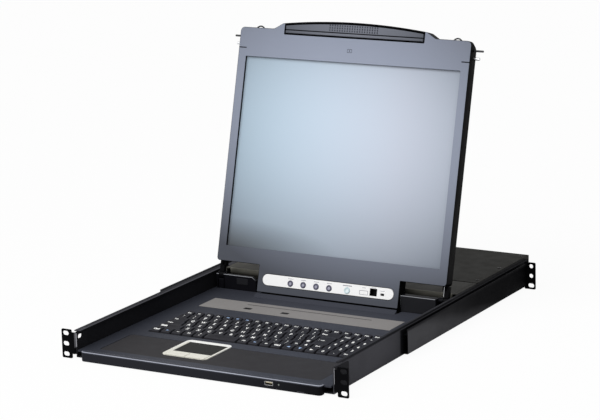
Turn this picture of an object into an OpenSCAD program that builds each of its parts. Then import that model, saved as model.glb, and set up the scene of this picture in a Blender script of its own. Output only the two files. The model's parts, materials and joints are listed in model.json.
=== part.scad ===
// Rack console drawer: a 1U chassis with a sliding keyboard tray, a fold-down display and a
// computer switch box at the back. X is to the right, Y to the back, Z up, in millimetres.
// The origin is the middle of the footprint, level with the lower edges of the rack ears.

/* [Rack ears] */
// Width across the ears
rack_w = 480; // [476:0.5:484]
// Height of an ear
ear_h = 44; // [43:0.1:44.4]
// Thickness of an ear plate
ear_t = 2; // [1.5:0.1:3]
// Distance between the left and right hole columns
hole_span = 465.1; // [464:0.1:466]
// Distance between holes in a column
hole_pitch = 15.875; // [15.5:0.025:16]
// Width of a rack hole
hole_d = 6.8; // [6:0.1:7.2]
// Length of a rack slot
slot_len = 10.4; // [9:0.1:12]
// Width of an ear's slotted face
ear_face_w = 17.5; // [16:0.5:19]
// Outer radius of the bend between an ear's face and its flange
ear_bend_r = 3.5; // [2.5:0.1:4]
// Length of the ear's flange along the wall
ear_flange_len = 44; // [30:1:60]
// Height of the flange's lower edge
ear_notch_h = 7; // [3:0.5:9]
// Distance from the ear's upper edge down to the flange's
ear_drop = 4; // [3:0.5:6]
// Diameter of an ear screw's head
screw_head_d = 5.6; // [5:0.1:7]
// Height of an ear screw's head
screw_head_h = 1.2; // [0.8:0.1:2]
// Diameter of an ear screw's shank
screw_d = 2.9; // [2:0.1:4]

/* [Chassis] */
// Width across the side walls
chassis_w = 432; // [428:0.5:436]
// Length from the front ears to the back edge
chassis_len = 679.2; // [660:0.2:720]
// Length of the side walls behind the ears
wall_len = 654; // [640:0.5:660]
// How far the front lip stands before the ears
lip_overhang = 10; // [6:0.5:16]
// Height of the walls' upper edge
wall_top = 42; // [41.5:0.1:43]
// Height of the walls' lower edge
wall_bottom = 2.5; // [1.5:0.1:2.8]
// Thickness of the chassis sheet
sheet_t = 1.5; // [1:0.1:1.8]
// Width of the walls' upper flange
flange_w = 10; // [7:0.5:10]
// Where the upper flange starts behind the ears
flange_start = 27; // [26:0.5:40]

/* [Rear rails] */
// How far a rail stands out from the wall
rail_w = 9; // [6:0.5:10]
// Height of a rail
rail_h = 39; // [34:0.5:40]
// Where a rail starts behind the front ears
rail_start = 210; // [200:1:240]
// How far a rail's upper edge stands above its flange
rail_lip = 8; // [4:0.5:10]
// Distance from the front ears to the rear ears
rail_ear_at = 627.6; // [600:0.2:640]

/* [Switch box] */
// Where the switch box starts behind the ears
box_start = 487; // [480:0.5:500]
// How deep the rear panel sits in the switch box
panel_recess = 6; // [6:0.5:10]
// Number of computer ports
port_count = 8; // [4:1:8]
// Distance between computer ports
port_pitch = 33; // [32:0.5:34]
// Height of the circuit boards above the base sheet
board_lift = 4; // [3:0.5:6]
// Thickness of the circuit boards
board_t = 1.6; // [1:0.1:2]
// Height of the power supply
supply_h = 32; // [25:1:34]

/* [Drawer] */
// Half width of the drawer pan
pan_half_w = 200; // [198:0.5:201]
// Thickness of the drawer pan
pan_t = 1.2; // [0.8:0.1:1.6]
// Height of the deck's upper face
deck_top = 14.5; // [14:0.1:15]
// Thickness of the deck
deck_t = 2.5; // [2:0.1:3]
// Length of the deck behind the ears
deck_len = 411.5; // [410:0.5:412]
// Width of the front lip
lip_w = 403; // [390:1:410]
// Height of the lip's lower edge
lip_low = 2; // [1:0.1:3]
// Height of the lip's upper edge
lip_high = 16; // [15.5:0.1:18]
// Radius of the lip's corners
lip_r = 6; // [4:0.5:9]
// Height of the rear cover's upper face
cover_top = 42; // [41.5:0.1:42.5]
// Where the rear cover starts behind the ears
cover_start = 412.5; // [412.4:0.1:416]

/* [Keyboard] */
// Key pitch
key_pitch = 19.05; // [18.6:0.05:19.2]
// Gap between keys
key_gap = 1; // [0.6:0.1:1.5]
// Height of the key tops
key_top = 18.2; // [17:0.1:18.6]
// How much narrower a key is at its top
key_taper = 4; // [2:0.2:6]
// Travel of a key
key_travel = 2; // [1.5:0.1:2]
// Depth of a function key
function_key_d = 16; // [14:0.5:19]
// Gap before the function row
function_gap = 2; // [1:0.5:4]
// Distance from the ears to the middle of the front key row
key_row_at = 136.5; // [134:0.5:139]
// Side of a key's guide stem
stem_w = 4.6; // [4:0.2:6]

/* [Touchpad] */
// Middle of the touchpad across the deck
pad_at_x = -48.8; // [-60:0.2:60]
// Front edge of the touchpad frame behind the ears
pad_front = 31.5; // [29:0.5:34]
// Side of the touchpad frame
pad_frame_w = 81; // [78:0.5:84]
// Height of the frame above the deck
pad_frame_t = 1; // [0.6:0.1:1.5]
// Width of the touchpad
pad_w = 65; // [60:0.5:66]
// Depth of the touchpad
pad_d = 49; // [45:0.5:50]
// Depth of a touchpad button
pad_button_d = 17; // [14:0.5:18]
// Travel of a touchpad button
pad_button_travel = 0.8; // [0.4:0.1:1]

/* [Palm rest and strip] */
// Width of the palm rest's inset
palm_w = 372; // [360:1:380]
// Front edge of the palm rest's inset
palm_front = 17; // [12:0.5:20]
// Depth of the palm rest's inset
palm_d = 87; // [80:0.5:95]
// Width of the info strip
strip_w = 352; // [330:1:370]
// Front edge of the info strip
strip_front = 279; // [270:0.5:285]
// Depth of the info strip
strip_d = 50; // [40:0.5:54]

/* [Hinge] */
// Distance from the ears to the hinge axis
hinge_at = 391; // [390.5:0.1:391.2]
// Height of the hinge axis
hinge_z = 36; // [35.8:0.1:36.2]
// Diameter of the hinge pins
pin_d = 6; // [5:0.1:6.4]
// Diameter of the hinge knuckles
knuckle_d = 11; // [10:0.1:11.4]
// Width of a hinge arm
arm_w = 8; // [6:0.5:8]
// Middle of a hinge arm across the display
arm_at_x = 199; // [197:0.5:199]
// How far a hinge arm's upper bar is set in from its knuckle
arm_crank = 3.2; // [3.2:0.1:5]
// Inner end of a hinge block
block_in_x = 130; // [128:0.5:140]
// Outer end of a hinge block
block_out_x = 208; // [205:0.5:209]
// Front face of the hinge blocks
block_front = 386; // [384:0.2:388]
// Height of the hinge blocks' front edge
block_top = 38.4; // [37:0.1:39]

/* [Display] */
// Lean of the display at rest, from upright
display_tilt = 15.17; // [10:0.01:20]
// Thickness of the display
display_t = 20; // [19:0.1:21]
// Distance of the hinge axis behind the display's face
axis_depth = 16; // [15.8:0.1:16.2]
// Distance of the hinge axis below the screen
axis_drop = 47.6; // [47:0.1:48]
// Width of the screen
screen_w = 376.3; // [374:0.1:378]
// Height of the screen
screen_h = 301.1; // [300:0.1:304]
// Width of the display case
case_w = 405; // [402:0.5:408]
// Lower edge of the case's sides below the screen
case_low = 23.5; // [22:0.1:26]
// Upper edge of the case above the screen's lower edge
case_high = 348; // [344:0.5:352]
// Radius of the case's corners
case_r = 7; // [3:0.5:10]
// Width of the lower skirt
skirt_w = 250; // [246:0.5:252]
// Lower edge of the skirt below the screen
skirt_low = 67.6; // [66:0.1:67.8]
// Half width of the handle's top
handle_half_w = 127; // [120:0.5:132]
// Length of the handle's shoulders
handle_ramp = 15.5; // [12:0.5:24]
// Rise of the handle's shoulders
handle_rise = 10; // [6:0.5:12]
// Rise of the handle's arched top
handle_arch = 7.6; // [4:0.1:9]
// Thickness of the bezel's face
face_t = 3.5; // [3:0.1:4]
// Thickness of the case's side walls
rim_t = 2.2; // [1.8:0.1:2.6]
// Depth at which the bezel meets the back cover
split_depth = 9; // [8.6:0.1:9.4]

/* [Controls] */
// Width of the control strip
panel_w = 232; // [230:0.5:236]
// Height of the control strip
panel_h = 17.5; // [16:0.1:18.5]
// Middle of the control strip below the screen
panel_at = 47; // [46:0.1:48]
// Diameter of a menu button
button_d = 9.4; // [8:0.1:10]
// Middle of the first menu button
button_at_x = -65.6; // [-70:0.1:-60]
// Distance between menu buttons
button_pitch = 23; // [20:0.1:24]
// Diameter of the power button
power_d = 10; // [9:0.1:11]
// Middle of the power button
power_at_x = 35.3; // [33:0.1:38]
// How far the buttons sit below the strip's middle line
button_drop = 2; // [0:0.1:3]
// Travel of a button
button_travel = 1; // [0.5:0.1:1.2]
// Middle of the service port
jack_at_x = 81.2; // [75:0.1:84]
// Width of the service port
jack_w = 12; // [11:0.1:13]
// Height of the service port
jack_h = 11; // [10.4:0.1:12]
// Middle of the service switch
switch_at_x = 97; // [95.5:0.1:100]

/* [Latches] */
// Height of the latch pin on the display
latch_at = 335; // [333:0.1:337]
// Depth of the latch pin behind the display's face
latch_depth = 12.5; // [12:0.1:13]
// Diameter of the latch pin
latch_pin_d = 3.2; // [3:0.1:4]
// How far the latch pin stands out of the case
latch_reach = 16.5; // [15.5:0.1:18]
// Distance from the latch pin down to the guide stub
latch_stub_drop = 12; // [10:0.1:13]
// Diameter of the guide stub
latch_stub_d = 4.4; // [3.6:0.1:4.8]
// Middle of the release loop on the case's upper edge
latch_loop_x = 174; // [170:0.5:178]
// Inward travel of a latch
latch_travel = 8; // [6:0.5:8]

/* [Clearances] */
// Gap between parts that slide or turn past each other
run_gap = 0.3; // [0.2:0.05:0.4]
// Radial gap of a hinge pin in its bore
pin_gap = 0.05; // [0.02:0.01:0.1]
// Gap around a part set into an opening
set_gap = 0.2; // [0.1:0.05:0.3]
// Gap between the drawer and the chassis
drawer_gap = 0.6; // [0.4:0.1:0.8]
// Gap between the deck and the walls
deck_gap = 2; // [1:0.1:2.5]
// Gap between a cover and its neighbours
cover_gap = 0.5; // [0.3:0.1:1]

/* [Hidden] */
$fn = 48;
eps = 0.5;

// Chassis places
front_y = (lip_overhang - chassis_len) / 2;
rear_y = front_y + chassis_len;
wall_out = chassis_w / 2;
wall_in = wall_out - sheet_t;
base_top = wall_bottom + sheet_t;
wall_end = front_y + wall_len;
ear_face_x = rack_w / 2 - ear_face_w;
ear_mid = ear_h / 2;
corner_r = 2;
ear_screw_ys = [front_y + ear_flange_len * 0.4, front_y + ear_flange_len * 0.8];
panel_y = rear_y - panel_recess - sheet_t;
box_y = front_y + box_start;
cover_half_w = wall_out - flange_w - cover_gap;
lid_low = wall_top - sheet_t;

// Rear panel places
port_x0 = -80;
port_w = 31;
port_h = 12.5;
port_shell_w = 17;
port_shell_h = 8.4;
port_out = 5.5;
board_side = 45;
board_end = 15;
supply_side = 10;
supply_front = 18;
supply_back = 44.7;
board_z = base_top + board_lift;
post_d = 6;
chip_h = 2.4;
port_z = board_z + board_t + port_h / 2;
inlet_x = -170;
inlet_w = 27;
inlet_h = 20;
inlet_wall = 1.6;
inlet_lift = 16;
inlet_z = base_top + inlet_lift;
inlet_depth = 17;
pin_recess = 4.6;
rocker_x = -138;
rocker_w = 12;
rocker_r = 9;
rocker_face = 2;
rocker_dip = 1;
rocker_tilt = 6;
usb_x = -112;
usb_w = 13.4;
usb_h = 5.8;
usb_wall = 0.5;
bezel_w = 2;
bezel_out = 1.5;

// Drawer places
pan_z = base_top + drawer_gap;
pan_top = pan_z + pan_t;
back_gap = 1.5;
pan_back = box_y - back_gap;
deck_low = deck_top - deck_t;
deck_half_w = wall_in - deck_gap;
cover_y = front_y + cover_start;
slide_low = base_top + run_gap;
slide_room = 0.7;
slide_high = deck_low - slide_room;
slide_t = 1;
slide_start = 20;
slide_end = 478;
slide_y0 = front_y + slide_start;
slide_y1 = front_y + slide_end;
slide_w = 8;
outer_in = wall_in - slide_w;
slide_play = 0.8;
mid_web = wall_in - slide_t - slide_play;
well_gap = 2;
well_front = 366;
lip_y = front_y - lip_overhang;
lip_port_x = 118;
lip_port_z = 9;
lamp_x = 134;
lamp_d = 3;
lamp_len = 3;
palm_depth = 0.5;
strip_t = 0.6;
window_w = 13;
window_d = 9;
window_xs = [-97, -31];
window_in = 17;
window_y = front_y + strip_front + window_in;
window_out = 0.2;

// Keyboard: each row is a list of key widths in pitches, from the left, 18 pitches in all.
// A negative number leaves room for a key that has its own node.
keys_wide = 18;
function_row = [for (i = [1:20]) keys_wide / 20];
number_row = [for (i = [1:18]) if (i != 14) i == 15 ? 2 : 1];
upper_row = concat([1.5], [for (i = [1:12]) 1], [-1.5], [1, 1, 1]);
home_row = concat([1.75], [for (i = [1:11]) 1], [0.75], [-1.5], [1, 1, 1]);
shift_row = concat([2.25], [for (i = [1:10]) 1], [0.75, 1, 1], [1, 1, 1]);
bottom_row = concat([for (i = [1:5]) 1], [-3], [for (i = [1:10]) 1]);
keys_x0 = -keys_wide * key_pitch / 2;
key_bottom = deck_low + run_gap;
plate_top = key_bottom - key_travel - run_gap;
plate_t = 1.5;
stem_low = plate_top - plate_t + run_gap;
keys_front = front_y + key_row_at - key_pitch / 2;
keys_back = keys_front + 5 * key_pitch + function_gap + function_key_d;
keys_edge = 0.5;
key_depth = key_pitch - key_gap;

// Touchpad places, from the front edge of the frame
pad_y0 = front_y + pad_front;
pad_rim = 3;
pad_split = 0.8;
pad_button_y = pad_y0 + pad_rim;
pad_y = pad_button_y + pad_button_d + pad_rim;
pad_button_w = (pad_w - pad_split) / 2;
pad_high = deck_top + pad_frame_t / 2;
pad_button_high = deck_top + pad_frame_t + pad_button_travel / 2;

// Display places, with x across, y into the display and z up its face from the screen's lower edge
hinge_y = front_y + hinge_at;
block_y = front_y + block_front;
handle_high = case_high + handle_rise;
arch_top = handle_high + handle_arch;
arch_r = (handle_half_w * handle_half_w + handle_arch * handle_arch) / (2 * handle_arch);
insert_drop = 5.5;
insert_low = case_high - insert_drop;
insert_side = 6;
insert_half_w = handle_half_w - insert_side;
insert_edge = 3;
insert_t = 2;
lug_w = 2.2;
lug_half = arm_w / 2 + run_gap + lug_w;
back_t = rim_t;
glass_t = 1.5;
light_t = 10;
light_back = face_t + glass_t + light_t;
screen_edge = 3;
strip_out = 0.4;
switch_w = 2.8;
switch_travel = 1.5;
button_out = 1.4;
button_in = 5.2;
board_depth = button_in + button_travel + run_gap;
button_z = -panel_at - button_drop;
arm_before = 4.5;
arm_front = axis_depth - arm_before;
arm_room = 4;
arm_back = display_t - back_t;
latch_w = 4;
loop_r = 8;
loop_d = 2.4;
latch_y0 = latch_depth - latch_w / 2;
latch_hole_y = hinge_y - latch_at - axis_drop;
latch_hole_z = hinge_z - axis_depth + latch_depth;

module block(low, high) {
    translate(low) cube(high - low);
}

module both_sides() {
    children();
    mirror([1, 0, 0]) children();
}

// A rectangle with round corners, from its lower left to its upper right point
module round_rect(low, high, r) {
    translate([low.x + r, low.y]) square([high.x - low.x - 2 * r, high.y - low.y]);
    translate([low.x, low.y + r]) square([high.x - low.x, high.y - low.y - 2 * r]);
    for (x = [low.x + r, high.x - r], y = [low.y + r, high.y - r]) translate([x, y]) circle(r);
}

// A flat shape drawn in x and z, carried from depth y0 to depth y1
module upright(y0, y1) {
    translate([0, y1, 0]) rotate([90, 0, 0]) linear_extrude(y1 - y0) children();
}

// A rod along X, from x0 to x1
module rod_x(x0, x1, d) {
    translate([x0, 0, 0]) rotate([0, 90, 0]) cylinder(h = x1 - x0, d = d);
}

module slot_shape(length, width) {
    square([length - width, width], center = true);
    for (side = [-1, 1]) translate([side * (length - width) / 2, 0]) circle(d = width);
}

module at_display() {
    translate([0, hinge_y, hinge_z])
        rotate([-display_tilt, 0, 0])
            translate([0, -axis_depth, axis_drop]) children();
}

// Chassis

module base_pan() {
    color("#2b2b2d") {
        block([-wall_in, front_y + ear_t, wall_bottom], [wall_in, wall_end, base_top]);
        block([-cover_half_w, box_y, wall_bottom], [cover_half_w, rear_y, base_top]);
    }
}

module ear_screw_places() {
    for (y = ear_screw_ys) translate([wall_out + sheet_t, y, ear_mid]) children();
}

// Hole that takes the display's latch pin when the display is closed
module latch_hole() {
    translate([0, latch_hole_y, latch_hole_z])
        rod_x(wall_in - eps, wall_out + sheet_t + eps, latch_pin_d + 4 * run_gap);
}

// A side wall: a sheet bent in to a flange at the top and to a return at its rear end
module wall() {
    difference() {
        union() {
            block([wall_in, front_y + ear_t, wall_bottom], [wall_out, wall_end, wall_top]);
            block([wall_out - flange_w, front_y + flange_start, lid_low], [wall_out, wall_end, wall_top]);
            block([wall_out - flange_w, wall_end - sheet_t, base_top], [wall_out, wall_end, wall_top]);
        }
        latch_hole();
        ear_screw_places() translate([-sheet_t, 0, 0]) rod_x(-sheet_t - eps, eps, screw_d + 2 * set_gap);
    }
}

module right_wall() {
    color("#2e2e30") wall();
}

module left_wall() {
    color("#2e2e30") mirror([1, 0, 0]) wall();
}

module ear_face() {
    difference() {
        round_rect([ear_face_x, 0], [rack_w / 2, ear_h], corner_r);
        for (k = [-1:1]) translate([hole_span / 2, ear_mid + k * hole_pitch]) slot_shape(slot_len, hole_d);
    }
}

// Section of an ear's bent sheet, from its face round the bend and along the wall
module ear_section() {
    bend_x = wall_out + ear_bend_r;
    bend_y = front_y + ear_bend_r;
    translate([bend_x, front_y]) square([ear_face_x + corner_r - bend_x, ear_t]);
    translate([bend_x, bend_y]) intersection() {
        difference() {
            circle(ear_bend_r);
            circle(ear_bend_r - ear_t);
        }
        translate([-ear_bend_r, -ear_bend_r]) square(ear_bend_r);
    }
    translate([wall_out, bend_y]) square([sheet_t, ear_flange_len - ear_bend_r]);
}

module front_ear() {
    difference() {
        union() {
            upright(front_y, front_y + ear_t) ear_face();
            translate([0, 0, ear_notch_h])
                linear_extrude(ear_h - ear_drop - ear_notch_h) ear_section();
        }
        ear_screw_places() rod_x(-sheet_t - eps, eps, screw_d + 2 * set_gap);
        latch_hole();
    }
}

module right_front_ear() {
    color("#1c1c1e") front_ear();
}

module left_front_ear() {
    color("#1c1c1e") mirror([1, 0, 0]) front_ear();
}

module ear_screws() {
    color("#3a3a3c") both_sides() ear_screw_places() {
        rod_x(0, screw_head_h, screw_head_d);
        rod_x(-2 * sheet_t, eps, screw_d);
    }
}

// A slide member: a channel that opens inwards, from its lips at x0 to its web's back at x1
module slide_channel(x0, x1, low, high) {
    block([x1 - slide_t, slide_y0, low], [x1, slide_y1, high]);
    block([x0, slide_y0, low], [x1, slide_y1, low + slide_t]);
    block([x0, slide_y0, high - slide_t], [x1, slide_y1, high]);
}

module outer_slides() {
    color("#b4b6b8") both_sides() slide_channel(outer_in, wall_in, slide_low, slide_high);
}

// Middle slide members, nested in the outer ones
module mid_slides() {
    step = slide_t + run_gap;
    color("#c4c6c8") both_sides()
        slide_channel(outer_in - slide_t, mid_web, slide_low + step, slide_high - step);
}

// The switch box's lid with its front wall and its sides
module box_cover() {
    color("#34332e") {
        block([-cover_half_w, box_y, lid_low], [cover_half_w, rear_y, wall_top]);
        block([-cover_half_w, box_y, base_top], [cover_half_w, box_y + sheet_t, wall_top]);
        both_sides() block([cover_half_w - sheet_t, box_y, base_top], [cover_half_w, rear_y, wall_top]);
    }
}

function port_x(i) = port_x0 + i * port_pitch;

module rear_panel() {
    half_w = cover_half_w - sheet_t;
    color("#262628") difference() {
        block([-half_w, panel_y, base_top], [half_w, panel_y + sheet_t, lid_low]);
        upright(panel_y - eps, panel_y + sheet_t + eps) {
            for (i = [0:port_count - 1])
                translate([port_x(i), port_z])
                    square([port_shell_w + 2 * set_gap, port_shell_h + 2 * set_gap], center = true);
            translate([inlet_x, inlet_z])
                square([inlet_w + 2 * set_gap, inlet_h + 2 * set_gap], center = true);
            translate([rocker_x, inlet_z])
                square([rocker_w, 2 * rocker_r] + 2 * (bezel_w + set_gap) * [1, 1], center = true);
            for (k = [0, 1])
                translate([usb_x, port_z + k * 2 * usb_h])
                    square([usb_w + 2 * set_gap, usb_h + 2 * set_gap], center = true);
        }
    }
}

// Board on four posts, with a row of square chips
module switch_board() {
    x0 = port_x0 - board_side;
    x1 = wall_in - board_end;
    y0 = box_y + supply_front;
    post_in = 8;
    post_back = 20;
    chip_w = 24;
    chip_in = 45;
    color("#1f5a3c") {
        block([x0, y0, board_z], [x1, panel_y - 1, board_z + board_t]);
        for (x = [x0 + post_in, x1 - post_in], y = [y0 + post_in, panel_y - post_back])
            translate([x, y, base_top]) cylinder(h = board_lift, d = post_d);
        for (i = [1:4])
            translate([x0 + i * (x1 - x0) / 5, y0 + chip_in, board_z + board_t])
                cube([chip_w, chip_w, chip_h]);
    }
}

module power_supply() {
    color("#a9abad")
        block([-wall_in + supply_front, box_y + supply_front, base_top],
            [port_x0 - board_side - supply_side, panel_y - supply_back, base_top + supply_h]);
}

// Mains inlet with its three pins, and the frame of the rocker switch beside it
module power_inlet() {
    y0 = panel_y + sheet_t;
    y1 = y0 + bezel_out;
    color("#1a1a1b") {
        difference() {
            union() {
                upright(y0 - inlet_depth - inlet_wall, y1)
                    translate([inlet_x, inlet_z]) square([inlet_w, inlet_h], center = true);
                upright(y0, y1)
                    translate([inlet_x, inlet_z])
                        square([inlet_w + 2 * bezel_w, inlet_h + 2 * bezel_w], center = true);
            }
            upright(y0 - inlet_depth, y1 + eps)
                translate([inlet_x, inlet_z])
                    square([inlet_w - 2 * inlet_wall, inlet_h - 2 * inlet_wall], center = true);
        }
        for (pin = [[-7, -2], [0, 2], [7, -2]])
            upright(y0 - inlet_depth - inlet_wall / 2, y1 - pin_recess)
                translate([inlet_x + pin.x, inlet_z + pin.y]) square([2, 4], center = true);
        difference() {
            upright(y0 - rocker_r - 2, y1)
                translate([rocker_x, inlet_z])
                    square([rocker_w + 2 * bezel_w, 2 * (rocker_r + bezel_w)], center = true);
            translate([rocker_x, y0, inlet_z])
                rod_x(-rocker_w / 2 - run_gap, rocker_w / 2 + run_gap, 2 * (rocker_r + run_gap));
        }
    }
}

// Rocker: a slice of a cylinder about its own pivot, with a face of two slopes, one end pressed in
module rocker_switch() {
    tip = rocker_r + eps;
    foot = -rocker_r / 2;
    color("#111112")
        translate([rocker_x - rocker_w / 2, panel_y + sheet_t, inlet_z])
            rotate([90, 0, 90])
                linear_extrude(rocker_w) intersection() {
                    circle(rocker_r);
                    rotate(-rocker_tilt) polygon([
                        [foot, -tip],
                        [rocker_face, -tip],
                        [rocker_face - rocker_dip, 0],
                        [rocker_face, tip],
                        [foot, tip]
                    ]);
                }
}

// A computer port: flange on the panel, shell outside, body on the board inside
module computer_port() {
    y0 = panel_y + sheet_t;
    flange_t = 0.8;
    body_d = 9;
    upright(y0, y0 + flange_t) square([port_w, port_h], center = true);
    upright(panel_y - eps, y0 + port_out) square([port_shell_w, port_shell_h], center = true);
    upright(panel_y - body_d, panel_y) square([port_w - 1, port_h], center = true);
}

// A flat socket with its contact tongue, from depth y0 (inside) to y1 (mouth)
module usb_socket(y0, y1) {
    difference() {
        upright(y0, y1) square([usb_w, usb_h], center = true);
        upright(y0 + 1, y1 + eps) square([usb_w - 2 * usb_wall, usb_h - 2 * usb_wall], center = true);
    }
    upright(y0 + 0.5, y1 - 1) translate([-usb_w / 2 + 1.2, 0.3]) square([usb_w - 2.4, 1.8]);
}

module rear_ports() {
    x0 = usb_x - usb_w / 2;
    x1 = usb_x + usb_w / 2;
    y1 = panel_y + sheet_t;
    y0 = y1 - 12;
    color("#3b4a78") {
        for (i = [0:port_count - 1]) translate([port_x(i), 0, port_z]) computer_port();
        for (k = [0, 1]) translate([usb_x, 0, port_z + k * 2 * usb_h]) usb_socket(y0, y1 + 1);
        block([x0, y0, board_z + board_t], [x1, y1 - 2, port_z - usb_h / 2]);
        block([x0, y0, port_z + usb_h / 2], [x1, y1 - 2, port_z + 1.5 * usb_h]);
    }
}

// Rear rail: a channel open towards the wall, with its rack ear at the back
module rear_rail() {
    x0 = wall_out + run_gap;
    x1 = wall_out + rail_w;
    z1 = wall_top;
    z0 = z1 - rail_h;
    ear_lap = 4;
    ear_y = front_y + rail_ear_at;
    y0 = front_y + rail_start;
    block([x1 - sheet_t, y0, z0], [x1, ear_y + ear_t, z1]);
    block([x0, y0, z0], [x1, ear_y + ear_t, z0 + sheet_t]);
    block([x0, y0, z1 - rail_lip - sheet_t], [x1, ear_y + ear_t, z1 - rail_lip]);
    upright(ear_y, ear_y + ear_t) difference() {
        round_rect([x1 - ear_lap, 0], [rack_w / 2, ear_h], corner_r);
        for (k = [0, 1]) translate([hole_span / 2, ear_mid + k * hole_pitch]) circle(d = hole_d);
        translate([hole_span / 2, ear_mid - hole_pitch]) slot_shape(slot_len, hole_d);
    }
}

module right_rear_rail() {
    color("#333335") rear_rail();
}

module left_rear_rail() {
    color("#333335") mirror([1, 0, 0]) rear_rail();
}

// Drawer

module drawer_pan() {
    color("#3a3a3c") {
        block([-pan_half_w, front_y, pan_z], [pan_half_w, pan_back, pan_top]);
        block([-pan_half_w, front_y, pan_z], [pan_half_w, front_y + pan_t, deck_low]);
        both_sides() block([pan_half_w - pan_t, front_y, pan_z], [pan_half_w, pan_back, deck_low]);
    }
}

// Inner slide members: bars on the pan's sides, nested in the middle members
module inner_slides() {
    step = 2 * (slide_t + run_gap);
    color("#b4b6b8") both_sides()
        block([pan_half_w, slide_y0, slide_low + step],
            [mid_web - slide_t - run_gap, slide_y1, slide_high - step]);
}

module keyboard_opening() {
    block([keys_x0 - keys_edge, keys_front - keys_edge, deck_low - eps],
        [-keys_x0 + keys_edge, keys_back + keys_edge, deck_top + eps]);
}

module pad_opening(gap) {
    x0 = pad_at_x - pad_w / 2 - gap;
    x1 = pad_at_x + pad_w / 2 + gap;
    block([x0, pad_y - gap, deck_low - eps], [x1, pad_y + pad_d + gap, deck_top + 2 * pad_frame_t]);
    block([x0, pad_button_y - gap, deck_low - eps],
        [x1, pad_button_y + pad_button_d + gap, deck_top + 2 * pad_frame_t]);
}

module deck() {
    color("#3c3f48") difference() {
        block([-deck_half_w, front_y, deck_low], [deck_half_w, front_y + deck_len, deck_top]);
        block([-palm_w / 2, front_y + palm_front, deck_top - palm_depth],
            [palm_w / 2, front_y + palm_front + palm_d, deck_top + eps]);
        keyboard_opening();
        pad_opening(set_gap);
        block([-skirt_w / 2 - well_gap, front_y + well_front, deck_low - eps],
            [skirt_w / 2 + well_gap, front_y + deck_len + eps, deck_top + eps]);
    }
}

// A round hole or lamp in the lip, from its face inwards
module lamp_rod(d, before) {
    translate([lamp_x, lip_y - before, lip_port_z])
        rotate([-90, 0, 0]) cylinder(h = lamp_len + before, d = d);
}

module front_lip() {
    color("#1b1d22") difference() {
        translate([0, 0, lip_low]) linear_extrude(lip_high - lip_low) {
            translate([-lip_w / 2 + lip_r, lip_y]) square([lip_w - 2 * lip_r, lip_overhang]);
            translate([-lip_w / 2, lip_y + lip_r]) square([lip_w, lip_overhang - lip_r]);
            for (x = [-lip_w / 2 + lip_r, lip_w / 2 - lip_r])
                intersection() {
                    translate([x, lip_y + lip_r]) circle(lip_r);
                    translate([x - lip_r, lip_y]) square([2 * lip_r, lip_overhang]);
                }
        }
        upright(lip_y - eps, front_y + eps)
            translate([lip_port_x, lip_port_z])
                square([usb_w + 2 * set_gap, usb_h + 2 * set_gap], center = true);
        lamp_rod(lamp_d + 2 * set_gap, eps);
    }
}

module front_usb_port() {
    color("#c8c9cc") translate([lip_port_x, lip_y + set_gap, lip_port_z])
        mirror([0, 1, 0]) usb_socket(2 * set_gap - lip_overhang, 0);
}

module info_strip() {
    color("#96938f") difference() {
        block([-strip_w / 2, front_y + strip_front, deck_top],
            [strip_w / 2, front_y + strip_front + strip_d, deck_top + strip_t]);
        for (x = window_xs)
            translate([x, window_y, deck_top])
                cube([window_w + 2 * set_gap, window_d + 2 * set_gap, 4 * strip_t], center = true);
    }
}

// Two dark windows in the info strip, and the lamp in the front lip
module indicator_windows() {
    color("#16181c") {
        for (x = window_xs)
            translate([x, window_y, deck_top + (strip_t + window_out) / 2])
                cube([window_w, window_d, strip_t + window_out], center = true);
        lamp_rod(lamp_d, 0);
    }
}

// Width of keys before key i of a row, in pitches
function row_before(row, i) = i == 0 ? 0 : abs(row[i - 1]) + row_before(row, i - 1);

function row_y(k) = keys_front + k * key_pitch;

// One key: a cap that narrows upwards, on its guide stem. It is drawn about its own middle.
module key_cap(w, d) {
    corners = [[-1, -1], [1, -1], [1, 1], [-1, 1]];
    foot = [for (c = corners) [c.x * w / 2, c.y * d / 2, key_bottom]];
    crown = [for (c = corners) [c.x * (w - key_taper) / 2, c.y * (d - key_taper) / 2, key_top]];
    polyhedron(concat(foot, crown),
        [[0, 1, 2, 3], [7, 6, 5, 4], [0, 4, 5, 1], [1, 5, 6, 2], [2, 6, 7, 3], [3, 7, 4, 0]]);
    translate([-stem_w / 2, -stem_w / 2, stem_low]) cube([stem_w, stem_w, key_bottom + eps - stem_low]);
}

// Places the children at each key of a row; $key_w is the key's width
module along_row(row, k, depth) {
    for (i = [0:len(row) - 1])
        if (row[i] > 0) {
            $key_w = row[i] * key_pitch - key_gap;
            translate([keys_x0 + (row_before(row, i) + row[i] / 2) * key_pitch, row_y(k) + depth / 2, 0])
                children();
        }
}

module key_row(row, k) {
    along_row(row, k, key_pitch) key_cap($key_w, key_depth);
}

module function_keys() {
    color("#232326")
        translate([0, function_gap, 0])
            along_row(function_row, 5, function_key_d) key_cap($key_w, function_key_d - key_gap);
}

module number_keys() {
    color("#232326") key_row(number_row, 4);
}

module upper_keys() {
    color("#232326") key_row(upper_row, 3);
}

module home_keys() {
    color("#232326") key_row(home_row, 2);
}

module shift_keys() {
    color("#232326") key_row(shift_row, 1);
}

module bottom_keys() {
    color("#232326") key_row(bottom_row, 0);
}

module space_place() {
    translate([keys_x0 + 6.5 * key_pitch, row_y(0) + key_pitch / 2, 0]) children();
}

module enter_place() {
    translate([keys_x0 + 14.25 * key_pitch, row_y(3), 0]) children();
}

module space_bar() {
    color("#232326") space_place() key_cap(3 * key_pitch - key_gap, key_depth);
}

module enter_key() {
    color("#232326") enter_place() key_cap(1.5 * key_pitch - key_gap, 2 * key_pitch - key_gap);
}

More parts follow.
